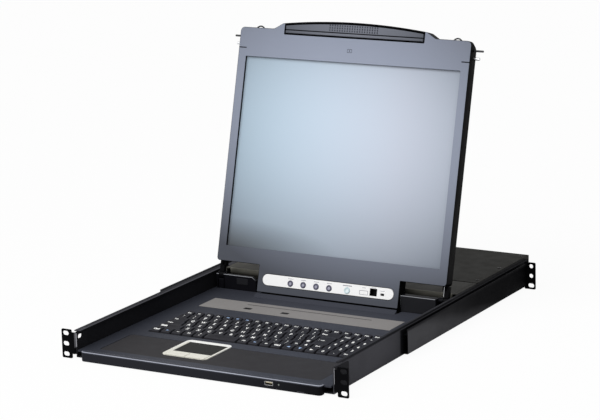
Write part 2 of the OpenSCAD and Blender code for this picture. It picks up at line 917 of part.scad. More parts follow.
// Guide plate under the keys, hung from the deck by its rim, with a hole for each stem
module keyboard_plate() {
    margin = 4;
    hole_w = stem_w + 2 * run_gap;
    low = plate_top - plate_t;
    color("#55585c") difference() {
        union() {
            block([keys_x0 - margin, keys_front - margin, low],
                [-keys_x0 + margin, keys_back + margin, plate_top]);
            difference() {
                block([keys_x0 - margin, keys_front - margin, low],
                    [-keys_x0 + margin, keys_back + margin, deck_low]);
                block([keys_x0 - margin / 2, keys_front - margin / 2, low],
                    [-keys_x0 + margin / 2, keys_back + margin / 2, deck_low + eps]);
            }
        }
        rows = [bottom_row, shift_row, home_row, upper_row, number_row];
        translate([0, 0, low + plate_t / 2]) {
            for (k = [0:4])
                along_row(rows[k], k, key_pitch) cube([hole_w, hole_w, 2 * plate_t], center = true);
            translate([0, function_gap, 0])
                along_row(function_row, 5, function_key_d) cube([hole_w, hole_w, 2 * plate_t], center = true);
            space_place() cube([hole_w, hole_w, 2 * plate_t], center = true);
            enter_place() cube([hole_w, hole_w, 2 * plate_t], center = true);
        }
    }
}

module touchpad_frame() {
    frame_r = 5;
    x0 = pad_at_x - pad_frame_w / 2;
    color("#dedcd2") difference() {
        translate([0, 0, deck_top]) linear_extrude(pad_frame_t)
            round_rect([x0, pad_y0], [x0 + pad_frame_w, pad_y0 + pad_frame_w], frame_r);
        pad_opening(set_gap);
    }
}

module touchpad() {
    color("#464644")
        block([pad_at_x - pad_w / 2, pad_y, deck_low], [pad_at_x + pad_w / 2, pad_y + pad_d, pad_high]);
}

// A touchpad button; side is -1 for the left one and 1 for the right one
module touch_button(side) {
    x = pad_at_x + side * (pad_w - pad_button_w) / 2;
    block([x - pad_button_w / 2, pad_button_y, deck_low],
        [x + pad_button_w / 2, pad_button_y + pad_button_d, pad_button_high]);
}

module left_touch_button() {
    color("#d6d4ca") touch_button(-1);
}

module right_touch_button() {
    color("#d6d4ca") touch_button(1);
}

// Hinge blocks on the deck: a slot for the arm between two round lugs with the pin's bores
module hinge_blocks() {
    slot_half = arm_w / 2 + run_gap;
    slot_low = hinge_z - knuckle_d / 2 - run_gap;
    color("#121214") both_sides() difference() {
        union() {
            block([block_in_x, block_y, deck_top], [block_out_x, front_y + deck_len, slot_low]);
            block([block_in_x, block_y, deck_top], [block_out_x, hinge_y, block_top]);
            translate([arm_at_x, hinge_y, hinge_z])
                rod_x(-lug_half, lug_half, knuckle_d);
            block([arm_at_x - lug_half, hinge_y - knuckle_d / 2, deck_top],
                [arm_at_x + lug_half, hinge_y + knuckle_d / 2, hinge_z]);
        }
        block([arm_at_x - slot_half, block_y - eps, slot_low],
            [arm_at_x + slot_half, front_y + deck_len + eps, hinge_z + knuckle_d]);
        translate([arm_at_x, hinge_y, hinge_z])
            rod_x(-lug_half - eps, lug_half + eps, pin_d + 2 * pin_gap);
    }
}

// Cover behind the hinge: a lid with walls down to the pan
module rear_cover() {
    t = pan_t;
    end_half_w = pan_half_w - 2 * pan_t;
    color("#34332e") {
        block([-cover_half_w, cover_y, cover_top - t], [cover_half_w, pan_back, cover_top]);
        for (y = [cover_y, pan_back - t])
            block([-end_half_w, y, pan_top], [end_half_w, y + t, cover_top]);
        both_sides() block([cover_half_w - t, cover_y, deck_low], [cover_half_w, pan_back, cover_top]);
    }
}

module drawer_board() {
    end_room = 12;
    y0 = cover_y + end_room;
    y1 = pan_back - end_room;
    half_w = 150;
    chip_w = 16;
    z = pan_top + board_lift;
    color("#1f5a3c") {
        block([-half_w, y0, z], [half_w, y1, z + board_t]);
        for (x = [post_d - half_w, half_w - post_d], y = [y0 + post_d, y1 - post_d])
            translate([x, y, pan_top]) cylinder(h = board_lift, d = post_d);
        for (i = [-1:1])
            translate([i * half_w / 2, (y0 + y1 - chip_w) / 2, z + board_t]) cube([chip_w, chip_w, chip_h]);
    }
}

// Display

// The case's front outline, drawn in by inset all round
module case_outline(inset = 0) {
    r = max(case_r - inset, 0.5);
    half_w = case_w / 2 - inset;
    round_rect([-half_w, -case_low + inset], [half_w, case_high - inset], r);
    round_rect([-skirt_w / 2 + inset, -skirt_low + inset], [skirt_w / 2 - inset, 0], r);
    intersection() {
        translate([0, arch_top - arch_r]) circle(arch_r - inset, $fn = 360);
        polygon([
            [-handle_half_w - handle_ramp, case_high - 3 * case_r],
            [handle_half_w + handle_ramp, case_high - 3 * case_r],
            [handle_half_w + handle_ramp, case_high - inset],
            [handle_half_w - inset, handle_high - inset],
            [handle_half_w - inset, arch_top],
            [-handle_half_w + inset, arch_top],
            [-handle_half_w + inset, handle_high - inset],
            [-handle_half_w - handle_ramp, case_high - inset]
        ]);
    }
}

module case_rim() {
    difference() {
        case_outline();
        case_outline(rim_t);
    }
}

module panel_shape(gap) {
    translate([0, -panel_at]) slot_shape(panel_w + 2 * gap, panel_h + 2 * gap);
}

module insert_shape(gap) {
    intersection() {
        case_outline(insert_edge - gap);
        translate([-insert_half_w - gap, insert_low - gap])
            square([2 * (insert_half_w + gap), arch_top - insert_low + 2 * gap]);
    }
}

module lcd_bezel() {
    seam_w = 1;
    seam_drop = 19;
    seam_z = latch_at - seam_drop;
    color("#5c5f6a") at_display() difference() {
        union() {
            upright(0, face_t) case_outline();
            upright(face_t, split_depth) case_rim();
        }
        upright(-eps, face_t + eps) translate([-screen_w / 2, 0]) square([screen_w, screen_h]);
        upright(-eps, face_t + eps) panel_shape(set_gap);
        upright(-eps, insert_t) insert_shape(set_gap);
        both_sides()
            block([screen_w / 2 + 2, -eps, seam_z], [case_w / 2 + eps, seam_w, seam_z + seam_w]);
    }
}

module lcd_back_cover() {
    slot_half = arm_w / 2 + run_gap;
    bar_x = arm_at_x - arm_crank;
    loop_half = loop_d / 2 + run_gap;
    loop_out = loop_r + loop_half;
    vent_z = 240;
    vent_pitch = 22;
    vent_w = 16;
    color("#161618") at_display() difference() {
        union() {
            upright(split_depth, display_t - back_t) case_rim();
            upright(display_t - back_t, display_t) case_outline();
        }
        both_sides() {
            block([bar_x - slot_half, arm_front - run_gap, -case_low - eps],
                [bar_x + slot_half, arm_back, -case_low + case_r]);
            translate([0, latch_depth, latch_at])
                rod_x(case_w / 2 - 2 * rim_t, case_w / 2 + eps, latch_pin_d + 2 * run_gap);
            translate([0, latch_depth, latch_at - latch_stub_drop])
                rod_x(case_w / 2 - 2 * rim_t, case_w / 2 + eps, latch_stub_d + 2 * run_gap);
            block([latch_loop_x - latch_travel - loop_out, latch_depth - loop_half, case_high - rim_t - eps],
                [latch_loop_x + loop_out, latch_depth + loop_half, case_high + eps]);
        }
        for (i = [-6:6])
            translate([i * vent_pitch, 0, vent_z])
                block([-vent_w / 2, display_t - back_t - eps, 0], [vent_w / 2, display_t + eps, 3]);
    }
}

module lcd_glass() {
    color("#c4d0de") at_display()
        block([-screen_w / 2 - screen_edge, face_t, -screen_edge],
            [screen_w / 2 + screen_edge, face_t + glass_t, screen_h + screen_edge]);
}

module lcd_backlight() {
    edge = screen_edge + 2;
    color("#a0a2a6") at_display()
        block([-screen_w / 2 - edge, face_t + glass_t, -edge],
            [screen_w / 2 + edge, light_back, screen_h + edge]);
}

module display_board() {
    half_w = 90;
    low = 20;
    color("#1f5a3c") at_display()
        block([-half_w, light_back, low], [half_w, light_back + board_t, low + half_w]);
}

function button_x(i) = button_at_x + i * button_pitch;

module control_strip() {
    post_x = panel_w / 2 - 12;
    color("#eeeeec") at_display() {
        difference() {
            upright(-strip_out, face_t) panel_shape(0);
            upright(-strip_out - eps, face_t + eps) {
                for (i = [0:3]) translate([button_x(i), button_z]) circle(d = button_d + 2 * run_gap);
                translate([power_at_x, button_z]) circle(d = power_d + 2 * run_gap);
                translate([jack_at_x, -panel_at])
                    square([jack_w + 2 * set_gap, jack_h + 2 * set_gap], center = true);
                translate([switch_at_x, button_z])
                    square([switch_w + 2 * (switch_travel + run_gap), switch_w + 2 * run_gap], center = true);
            }
        }
        for (x = [-post_x, post_x])
            translate([x, face_t, -panel_at])
                rotate([-90, 0, 0]) cylinder(h = board_depth - face_t, d = post_d);
    }
}

module control_board() {
    color("#1f5a3c") at_display()
        upright(board_depth, board_depth + board_t)
            translate([0, -panel_at]) square([panel_w - 8, panel_h], center = true);
}

// A push button on the control strip, drawn about its own middle
module push_button(d) {
    translate([0, -button_out, 0]) rotate([-90, 0, 0]) cylinder(h = button_out + button_in, d = d);
}

module menu_button(i) {
    at_display() translate([button_x(i), 0, button_z]) push_button(button_d);
}

module menu_button_1() {
    color("#84849a") menu_button(0);
}

module menu_button_2() {
    color("#84849a") menu_button(1);
}

module menu_button_3() {
    color("#84849a") menu_button(2);
}

module menu_button_4() {
    color("#84849a") menu_button(3);
}

module power_button() {
    color("#d2e6e6") at_display() translate([power_at_x, 0, button_z]) push_button(power_d);
}

module service_port() {
    wall = 1.1;
    color("#1d1d1f") at_display() translate([jack_at_x, 0, -panel_at]) difference() {
        upright(-strip_out, board_depth) square([jack_w, jack_h], center = true);
        upright(-strip_out - eps, board_depth - 0.7)
            square([jack_w - 2 * wall, jack_h - 2 * wall], center = true);
    }
}

module service_switch() {
    color("#1d1d1f") at_display() translate([switch_at_x, 0, button_z])
        upright(-2 * strip_out, face_t) square(switch_w, center = true);
}

// Handle insert: a plate in the bezel's recess with three rows of small grip ribs
module handle_insert() {
    rib_half_w = 40;
    rib_count = 18;
    rib_pitch = 2 * rib_half_w / rib_count;
    out = 0.6;
    color("#6e707d") at_display() {
        upright(-out, insert_t) insert_shape(0);
        for (i = [0:rib_count - 1], k = [0:2])
            translate([-rib_half_w + i * rib_pitch, -2 * out, insert_low + 5 + k * 4.5])
                cube([0.6 * rib_pitch, 2 * out, 3]);
    }
}

// Hinge arms: a knuckle and a bar on the pin, cranked inwards to a second bar in the case
module hinge_arms() {
    bar_x = arm_at_x - arm_crank;
    color("#2a2a2c") at_display() both_sides() {
        translate([arm_at_x - arm_w / 2, 0, 0]) rotate([90, 0, 90])
            linear_extrude(arm_w) difference() {
                union() {
                    translate([axis_depth, -axis_drop]) circle(d = knuckle_d);
                    translate([arm_front, -axis_drop])
                        square([arm_back - arm_front, axis_drop - case_low - run_gap]);
                }
                translate([axis_depth, -axis_drop]) circle(d = pin_d + 2 * pin_gap);
            }
        block([bar_x - arm_w / 2, arm_front, -case_low - arm_w],
            [bar_x + arm_w / 2, arm_back, -screen_edge - arm_room]);
    }
}

module hinge_pins() {
    color("#c9cacc") both_sides()
        translate([arm_at_x, hinge_y, hinge_z]) rod_x(-lug_half, lug_half, pin_d);
}

// A display latch: a slider in the case's corner, its side pin and guide stub, and its release loop
module latch() {
    inner = case_w / 2 - rim_t - run_gap;
    outer = case_w / 2 + latch_reach;
    slider_w = 9;
    y1 = latch_y0 + latch_w;
    stub_z = latch_at - latch_stub_drop;
    bar_z = latch_at + 2;
    bar_top = case_high - rim_t - 1;
    block([inner - slider_w, latch_y0, stub_z - 3], [inner, y1, bar_z + 2]);
    block([latch_loop_x - loop_r - loop_d / 2, latch_y0, bar_z], [inner - slider_w / 2, y1, bar_top]);
    translate([0, latch_depth, latch_at]) rod_x(inner - 1, outer, latch_pin_d);
    translate([0, latch_depth, stub_z]) rod_x(inner - 1, wall_in - run_gap, latch_stub_d);
    translate([latch_loop_x, latch_depth, bar_top - eps]) rotate([90, 0, 0])
        rotate_extrude(angle = 180) translate([loop_r, 0]) circle(d = loop_d, $fn = 16);
}

module right_latch() {
    color("#8d8e92") at_display() latch();
}

module left_latch() {
    color("#8d8e92") at_display() mirror([1, 0, 0]) latch();
}

base_pan();
left_wall();
right_wall();
left_front_ear();
right_front_ear();
ear_screws();
outer_slides();
box_cover();
rear_panel();
switch_board();
power_supply();
power_inlet();
rear_ports();
rocker_switch();
left_rear_rail();
right_rear_rail();
mid_slides();
drawer_pan();
inner_slides();
deck();
front_lip();
front_usb_port();
info_strip();
indicator_windows();
keyboard_plate();
touchpad_frame();
touchpad();
hinge_blocks();
rear_cover();
drawer_board();
left_touch_button();
right_touch_button();
function_keys();
number_keys();
upper_keys();
home_keys();
shift_keys();
bottom_keys();
space_bar();
enter_key();
lcd_bezel();
lcd_back_cover();
lcd_glass();
lcd_backlight();
control_strip();
handle_insert();
hinge_arms();
hinge_pins();
display_board();
control_board();
service_port();
menu_button_1();
menu_button_2();
menu_button_3();
menu_button_4();
power_button();
service_switch();
left_latch();
right_latch();
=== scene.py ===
import json
import math

import bpy
import numpy as np
from mathutils import Matrix, Vector, geometry


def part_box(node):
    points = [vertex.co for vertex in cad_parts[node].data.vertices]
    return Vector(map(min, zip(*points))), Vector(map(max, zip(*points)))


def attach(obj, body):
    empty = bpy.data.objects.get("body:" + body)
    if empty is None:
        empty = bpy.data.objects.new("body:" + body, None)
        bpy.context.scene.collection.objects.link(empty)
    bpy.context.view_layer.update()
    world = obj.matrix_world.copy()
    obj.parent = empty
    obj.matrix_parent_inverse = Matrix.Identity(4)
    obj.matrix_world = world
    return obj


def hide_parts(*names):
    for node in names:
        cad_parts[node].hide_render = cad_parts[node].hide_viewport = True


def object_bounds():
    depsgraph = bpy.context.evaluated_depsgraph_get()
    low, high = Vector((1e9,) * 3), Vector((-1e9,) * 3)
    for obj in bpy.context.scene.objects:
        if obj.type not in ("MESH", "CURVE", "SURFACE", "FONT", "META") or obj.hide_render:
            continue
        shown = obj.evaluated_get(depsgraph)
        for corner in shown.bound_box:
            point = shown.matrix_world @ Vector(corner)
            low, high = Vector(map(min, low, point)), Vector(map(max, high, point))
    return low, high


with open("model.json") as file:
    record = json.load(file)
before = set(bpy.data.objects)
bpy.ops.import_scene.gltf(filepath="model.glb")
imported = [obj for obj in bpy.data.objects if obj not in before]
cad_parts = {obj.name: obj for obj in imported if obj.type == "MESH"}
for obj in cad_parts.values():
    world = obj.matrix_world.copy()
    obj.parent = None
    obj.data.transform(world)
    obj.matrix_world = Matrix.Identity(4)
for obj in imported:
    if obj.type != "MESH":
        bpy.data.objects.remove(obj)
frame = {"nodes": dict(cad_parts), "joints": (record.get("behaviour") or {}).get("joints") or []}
cad_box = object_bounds()


# Viewpoint
# A long lens stands to the right of the console and a little above it, about 3.8 m away,
# and leans one and a half degrees to the side.
azimuth, elevation, roll = np.radians([29.82, 13.27, -1.53])
camera_place = (1.7902, -3.1607, 1.0297)
towards_camera = np.array([
    math.sin(azimuth) * math.cos(elevation),
    -math.cos(azimuth) * math.cos(elevation),
    math.sin(elevation),
])
sideways = np.array([math.cos(azimuth), math.sin(azimuth), 0.0])
upward = np.cross(towards_camera, sideways)
camera_right = sideways * math.cos(roll) + upward * math.sin(roll)
camera_up = upward * math.cos(roll) - sideways * math.sin(roll)
lens = bpy.data.cameras.new("camera")
lens.lens = 146.57
lens.sensor_width = 36.0
camera = bpy.data.objects.new("camera", lens)
bpy.context.scene.collection.objects.link(camera)
camera_turn = Matrix(np.column_stack([camera_right, camera_up, towards_camera]).tolist())
camera.matrix_world = Matrix.Translation(camera_place) @ camera_turn.to_4x4()
bpy.context.scene.camera = camera
bpy.context.scene.view_settings.view_transform = "Standard"


# Floor and light
# A wide white studio floor under even light from all round, a broad soft light from the front left
# and one soft box hung before the display.
def wired(tree, kind, links, **settings):
    """One node of a material or a world, with its settings and the values and sockets that feed it."""
    node = tree.nodes.new("ShaderNode" + kind)
    for name, value in settings.items():
        setattr(node, name, value)
    for socket, source in links.items():
        if hasattr(source, "is_output"):
            tree.links.new(source, node.inputs[socket])
        else:
            node.inputs[socket].default_value = source
    return node


def studio_white(tree, share, plain, values, white, output):
    """Fills the nodes of a floor or a sky: plain for the light that falls on the object, and white, by
    a share, where the camera sees it, directly or in a mirror or glass."""
    tree.nodes.clear()
    path = wired(tree, "LightPath", {})
    seen = path.outputs["Is Camera Ray"]
    for ray in ("Is Glossy Ray", "Is Transmission Ray"):
        seen = wired(tree, "Math", {0: seen, 1: path.outputs[ray]}, operation="MAXIMUM").outputs[0]
    part = wired(tree, "Math", {0: seen, 1: share}, operation="MULTIPLY").outputs[0]
    lit, bright = wired(tree, plain, values).outputs[0], wired(tree, white, {}).outputs[0]
    mixed = wired(tree, "MixShader", {0: part, 1: lit, 2: bright}).outputs[0]
    wired(tree, output, {0: mixed})


floor_half = 30.0
floor_mesh = bpy.data.meshes.new("floor")
floor_mesh.from_pydata(
    [(x * floor_half, y * floor_half, cad_box[0].z) for x, y in ((-1, -1), (1, -1), (1, 1), (-1, 1))],
    [], [(0, 1, 2, 3)],
)
floor_white = bpy.data.materials.new("floor_white")
floor_white.use_nodes = True
floor_grey = (0.86, 0.86, 0.86, 1)
studio_white(floor_white.node_tree, 0.95, "BsdfDiffuse", {"Color": floor_grey}, "Emission", "OutputMaterial")
floor_mesh.materials.append(floor_white)
floor = bpy.data.objects.new("floor", floor_mesh)
bpy.context.scene.collection.objects.link(floor)

world = bpy.data.worlds.new("studio")
bpy.context.scene.world = world
world.use_nodes = True
studio_white(world.node_tree, 1.0, "Background", {"Strength": 0.5}, "Background", "OutputWorld")


def hung_lamp(name, kind, place, aim, power, **shape):
    """A lamp at a place, turned so that it shines at its aim."""
    lamp = bpy.data.lights.new(name, kind)
    lamp.energy = power
    for setting, value in shape.items():
        setattr(lamp, setting, value)
    holder = bpy.data.objects.new(name, lamp)
    bpy.context.scene.collection.objects.link(holder)
    towards = (Vector(place) - Vector(aim)).to_track_quat("Z", "Y").to_matrix().to_4x4()
    holder.matrix_world = Matrix.Translation(place) @ towards


hung_lamp("window_light", "SUN", (-1.0, -2.2, 2.4), (0.0, 0.0, 0.1), 1.5, angle=math.radians(50))
hung_lamp("front_box", "AREA", (0.0, -0.6, 0.95), (0.0, 0.1, 0.3), 4.0, size=0.6)


# Side walls
# Folded steel sheet, powder coated black, with light and shade painted in: paler where light falls, a painted
# shadow just in front of the rear rail and a painted highlight along the right one's upper bend. Each wall is
# bent in at the top and the rear end, the front part of the left one also out to a narrow lip. A hole at the
# front takes the display's latch pin.
def rounded(corners, radii, steps=5):
    """A closed outline with its corners rounded: on the circle of radius r that touches both sides
    of a corner, from the point r / tan(half the angle) before it to the point as far after it."""
    corners = np.asarray(corners, float)
    radii = np.broadcast_to(np.asarray(radii, float), len(corners))
    back = np.roll(corners, 1, 0) - corners
    ahead = np.roll(corners, -1, 0) - corners
    back /= np.linalg.norm(back, axis=1, keepdims=True)
    ahead /= np.linalg.norm(ahead, axis=1, keepdims=True)
    half = np.arccos(np.clip((back * ahead).sum(1), -1, 1)) / 2
    bisector = (back + ahead) / np.linalg.norm(back + ahead, axis=1, keepdims=True)
    centre = corners + bisector * (radii / np.sin(half))[:, None]
    start = corners + back * (radii / np.tan(half))[:, None] - centre
    way = np.sign(ahead[:, 1] * back[:, 0] - ahead[:, 0] * back[:, 1])
    angle = -way[:, None] * (np.pi - 2 * half)[:, None] * np.linspace(0, 1, steps + 1)
    x = start[:, :1] * np.cos(angle) - start[:, 1:] * np.sin(angle)
    y = start[:, :1] * np.sin(angle) + start[:, 1:] * np.cos(angle)
    points = (centre[:, None] + np.stack([x, y], 2)).reshape(-1, 2)
    return points[np.linalg.norm(points - np.roll(points, 1, 0), axis=1) > 1e-7]


def box_outline(x0, y0, x1, y1, radii=0.0, steps=5):
    """A rectangle from its lower left to its upper right corner, anticlockwise, with rounded corners."""
    return rounded([(x0, y0), (x1, y0), (x1, y1), (x0, y1)], radii, steps)


def box_about(middle, half, radii=0.0, steps=5):
    """A rectangle about its middle, by half its width and half its height, with rounded corners."""
    (x, y), (w, h) = middle, half
    return box_outline(x - w, y - h, x + w, y + h, radii, steps)


def footprint(low, high, radii=0.0):
    """The rectangle that a box covers, seen from above, with rounded corners."""
    return box_outline(low.x, low.y, high.x, high.y, radii)


def round_outline(x, y, radius, steps=24):
    """A circle of evenly spaced points, anticlockwise."""
    angle = np.linspace(0, 2 * np.pi, steps, endpoint=False)
    return np.stack([x + radius * np.cos(angle), y + radius * np.sin(angle)], 1)


def drawn_in(loop, inset):
    """A loop moved to its left by inset: each point goes along the sum of its two sides' normals,
    by twice the inset over that sum's square."""
    along = np.roll(loop, -1, 0) - loop
    along /= np.linalg.norm(along, axis=1, keepdims=True)
    left = np.stack([-along[:, 1], along[:, 0]], 1)
    both = left + np.roll(left, 1, 0)
    return loop + 2 * inset * both / (both ** 2).sum(1, keepdims=True)


def stacked(stacks):
    """Rings of points, one stack for the outline and one for each hole. Each ring is joined to the
    next by smooth quads, and flat triangles close the first rings and the last ones.
    A shape is its points, its quads, its triangles and how pale its finish is at each point."""
    points, quads, first, last, total = [], [], [], [], 0
    for rings in stacks:
        rings = np.array(rings)
        ids = total + np.arange(rings[..., 0].size).reshape(rings.shape[:2])
        step = np.roll(ids, -1, 1)
        quads.append(np.stack([ids[:-1], step[:-1], step[1:], ids[1:]], 2).reshape(-1, 4))
        points.append(rings.reshape(-1, 3))
        first.append(ids[0])
        last.append(ids[-1])
        total += ids.size
    points = np.concatenate(points)
    tris = []
    for ends, up in ((first, -1), (last, 1)):
        fan = np.array(geometry.tessellate_polygon([points[e].tolist() for e in ends]))
        fan = np.concatenate(ends)[fan]
        (ax, ay), (bx, by), (cx, cy) = (points[fan[:, k], :2].T for k in range(3))
        turned = np.sign((bx - ax) * (cy - ay) - (by - ay) * (cx - ax)) != up
        fan[turned] = fan[turned][:, ::-1]
        tris.append(fan)
    return points, np.concatenate(quads), np.concatenate(tris), np.zeros(total)


def at_level(loop, height):
    """A flat loop as a ring of points at one height."""
    return np.column_stack([loop, np.full(len(loop), height)])


def slab(loops, low, high, rim=0.0, foot=0.0, levels=(), steps=4):
    """A plate between two levels. Its outline (anticlockwise) and holes (clockwise) are carried up one
    profile of insets and levels: a quarter circle of radius foot, a straight wall and a quarter
    circle of radius rim."""
    quarter = np.linspace(0, np.pi / 2, steps + 1)
    sliver = 2e-5
    profile = [(0.0, low)]
    if foot:
        profile = [(foot + sliver, low)]
        profile += list(zip(foot * (1 - np.sin(quarter)), low + foot * (1 - np.cos(quarter))))
    profile += [(0.0, level) for level in levels]
    if rim:
        profile += list(zip(rim * (1 - np.cos(quarter)), high - rim * (1 - np.sin(quarter))))
        profile += [(rim + sliver, high)]
    else:
        profile += [(0.0, high)]
    return stacked([[at_level(drawn_in(loop, i), z) for i, z in profile] for loop in loops])


def joined(*shapes):
    """Several shapes as one: points one after another, faces counted on."""
    starts = np.cumsum([0] + [len(s[0]) for s in shapes])
    counted = (0, 1, 1, 0)
    return tuple(
        np.concatenate([s[k] + start * counted[k] for s, start in zip(shapes, starts)]) for k in range(4)
    )


def moved(shape, x=0.0, y=0.0, z=0.0):
    """A shape carried along by x, y and z."""
    return (shape[0] + np.array([x, y, z]),) + shape[1:]


def facing_front(shape):
    """Stands a shape up: its first axis across, its second up, its third towards the front (-Y)."""
    u, v, w = shape[0].T
    return (np.stack([u, -w, v], 1),) + shape[1:]


def facing_back(shape):
    """Stands a shape up the other way round: its first axis to the left, its third to the back."""
    u, v, w = shape[0].T
    return (np.stack([-u, w, v], 1),) + shape[1:]


def facing_right(shape):
    """Stands a shape on its side: its first axis to the back, its second up, its third to the right."""
    u, v, w = shape[0].T
    return (np.stack([w, u, v], 1),) + shape[1:]


def mirrored(shape):
    """A shape on the other side of the middle plane, with its faces turned back outwards."""
    return shape[0] * np.array([-1, 1, 1]), shape[1][:, ::-1], shape[2][:, ::-1], shape[3]


def both_sides(shape):
    """A shape and its mirror image."""
    return joined(shape, mirrored(shape))


def paled(shape, where, amount=1.0):
    """A shape whose finish is pale, by an amount, at the points where a test of x, y and z holds."""
    return shape[:3] + (np.where(where(*shape[0].T), amount, shape[3]),)


def painted_light_or_tone(shape, pale_amount):
    """A shape whose finish is pale all over by one amount, or by one worked out from x, y and z: painted
    light and shade on most pieces, and the buttons' own pale middles.
    """
    amount = pale_amount(*shape[0].T) if callable(pale_amount) else pale_amount
    return shape[:3] + (np.full(len(shape[0]), amount),)


def tone(code):
    """A colour written as six hexadecimal digits, as linear light."""
    part = np.array([int(code[k:k + 2], 16) for k in (0, 2, 4)]) / 255
    linear = np.where(part <= 0.04045, part / 12.92, ((part + 0.055) / 1.055) ** 2.4)
    return (*linear.tolist(), 1.0)


def blended(tree, share, first, second):
    """The colour that lies a share of the way from the first to the second."""
    return wired(tree, "Mix", {0: share, 6: first, 7: second}, data_type="RGBA").outputs[2]


def finish(name, colour, rough, grain, depth, drift=0.1, gloss=0.04, metal=0.0, stretch=(1, 1, 1),
           pale=None, fade=None, cast=None, corner=None):
    """A worked surface. Its colour drifts by a broad cloud and its gloss by a finer one, and a grain
    of the given size, stretched along an axis if it is brushed, raises it by depth. It turns to the
    pale tone by the shape's own measure, broken up by the cloud; on most pieces that measure is painted
    light and shade. It fades to a darker tone by the squares of the distances along two turned axes,
    across and up, from a bright middle: a painted pool of light. A cast tints it from one place across to
    another, and a dark corner, painted shade, loses its tone evenly over two reaches."""
    material = bpy.data.materials.new(name)
    material.use_nodes = True
    tree = material.node_tree
    far = 1000.0
    shader = tree.nodes["Principled BSDF"]
    shader.inputs["Metallic"].default_value = metal
    shader.inputs["Specular IOR Level"].default_value = gloss
    place = tree.nodes.new("ShaderNodeTexCoord").outputs["Object"]
    cloud = wired(tree, "TexNoise", {"Vector": place, "Scale": 11.0, "Detail": 3.0}).outputs["Fac"]
    base = np.array(tone(colour))
    darker, lighter = (tuple(np.clip(base * k, 0, 1)[:3]) + (1.0,) for k in (1 - drift, 1 + drift))
    shade = blended(tree, cloud, darker, lighter)
    if cast:
        tint, start, end = cast
        across = wired(tree, "SeparateXYZ", {0: place}).outputs[0]
        share = wired(tree, "MapRange", {0: across, 1: start, 2: end}).outputs[0]
        shade = blended(tree, share, tone(tint), shade)
    if fade:
        middle_x, middle_z, turned, spread_x, spread_z, dark = fade
        away = wired(tree, "Mapping", {
            "Vector": place, "Location": (middle_x, 0, middle_z), "Rotation": (0, math.radians(turned), 0),
            "Scale": (spread_x, far, spread_z)}, vector_type="TEXTURE").outputs[0]
        squares = wired(tree, "VectorMath", {0: away, 1: away}, operation="DOT_PRODUCT").outputs["Value"]
        shade = blended(tree, squares, shade, tone(dark))
    if corner:
        corner_x, corner_z, reach_x, reach_z, dark, most = corner
        away = wired(tree, "Mapping", {
            "Vector": place, "Location": (corner_x, 0, corner_z), "Scale": (reach_x, far, reach_z)},
            vector_type="TEXTURE").outputs[0]
        reach = wired(tree, "VectorMath", {0: away}, operation="LENGTH").outputs["Value"]
        near = wired(tree, "MapRange", {0: reach, 3: most, 4: 0.0}).outputs[0]
        shade = blended(tree, near, shade, tone(dark))
    if pale:
        pale_attribute = wired(tree, "Attribute", {}, attribute_name="pale").outputs["Fac"]
        broken = wired(tree, "MapRange", {0: cloud, 1: 0.3, 2: 0.6, 3: 0.75, 4: 1.0}).outputs[0]
        amount = wired(tree, "Math", {0: pale_attribute, 1: broken}, operation="MULTIPLY").outputs[0]
        shade = blended(tree, amount, shade, tone(pale))
    tree.links.new(shade, shader.inputs["Base Color"])
    patch = wired(tree, "TexNoise", {"Vector": place, "Scale": 55.0, "Detail": 4.0}).outputs["Fac"]
    sheen = wired(tree, "MapRange", {0: patch, 1: 0.3, 2: 0.7, 3: rough - 0.04, 4: rough + 0.04})
    tree.links.new(sheen.outputs[0], shader.inputs["Roughness"])
    along = wired(tree, "Mapping", {"Vector": place, "Scale": stretch}).outputs[0]
    speck = wired(tree, "TexNoise", {"Vector": along, "Scale": 0.6 / grain, "Detail": 2.0}).outputs["Fac"]
    relief = wired(tree, "Bump", {"Strength": 0.6, "Distance": depth, "Height": speck})
    tree.links.new(relief.outputs[0], shader.inputs["Normal"])
    return material


def piece(name, shape, body, slot, material, *nodes):
    """A shape as an object: its quads smooth and its flat ends flat, with sharp edges kept. It rides
    on a body, takes the material given and stands for the nodes it replaces. The slot is not used."""
    points, quads, tris, pale = shape
    mesh = bpy.data.meshes.new(name)
    mesh.from_pydata(points.tolist(), [], quads.tolist() + tris.tolist())
    mesh.polygons.foreach_set("use_smooth", np.arange(len(mesh.polygons)) < len(quads))
    mesh.set_sharp_from_angle(angle=math.radians(40))
    if pale.any():
        mesh.attributes.new("pale", "FLOAT", "POINT").data.foreach_set("value", pale)
    mesh.materials.append(material)
    made = bpy.data.objects.new(name, mesh)
    bpy.context.scene.collection.objects.link(made)
    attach(made, body)
    if nodes:
        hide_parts(*nodes)
    return made


def dressed(material, *nodes):
    """Gives nodes that keep their own shape a finish."""
    for node in nodes:
        materials = frame["nodes"][node].data.materials
        materials.clear()
        materials.append(material)


hair = 0.0001
sheet = 0.0015
wall_low, wall_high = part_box("right_wall")
base_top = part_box("base_pan")[1].z
front_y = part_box("right_front_ear")[0].y
flange_start = front_y + 0.027
latch_hole = box_outline(front_y + 0.0058, 0.0292, front_y + 0.0177, 0.0362, 0.003)[::-1]
sheet_black = finish("sheet_black", "0c0c0e", 0.6, 0.0011, 0.00006, gloss=0.01, pale="4e4e53")
wall_top = wall_high.z
# Where the painted tone on the flange top changes from its inner to its outer part.
flange_dark = 0.2104


def wall_front(top):
    """The upright sheet's front end up to a height, with the latch hole."""
    return facing_right(slab(
        [box_outline(wall_low.y, wall_low.z, flange_start, top, (0, 0, 0, 0.001)), latch_hole],
        wall_high.x - sheet, wall_high.x,
    ))


wall_return = facing_front(slab(
    [box_outline(wall_low.x, base_top, wall_high.x, wall_top, 0.0005)],
    -wall_high.y, -wall_high.y + sheet, 0, 0.0004,
))
lip_out = 0.2218
lip_in = 0.211
lip_rear = 0.09
lip_start = wall_low.y + 0.005
shade_rows = (-0.14, -0.08, 0.10, 0.129, 0.134, 0.145, 0.20)


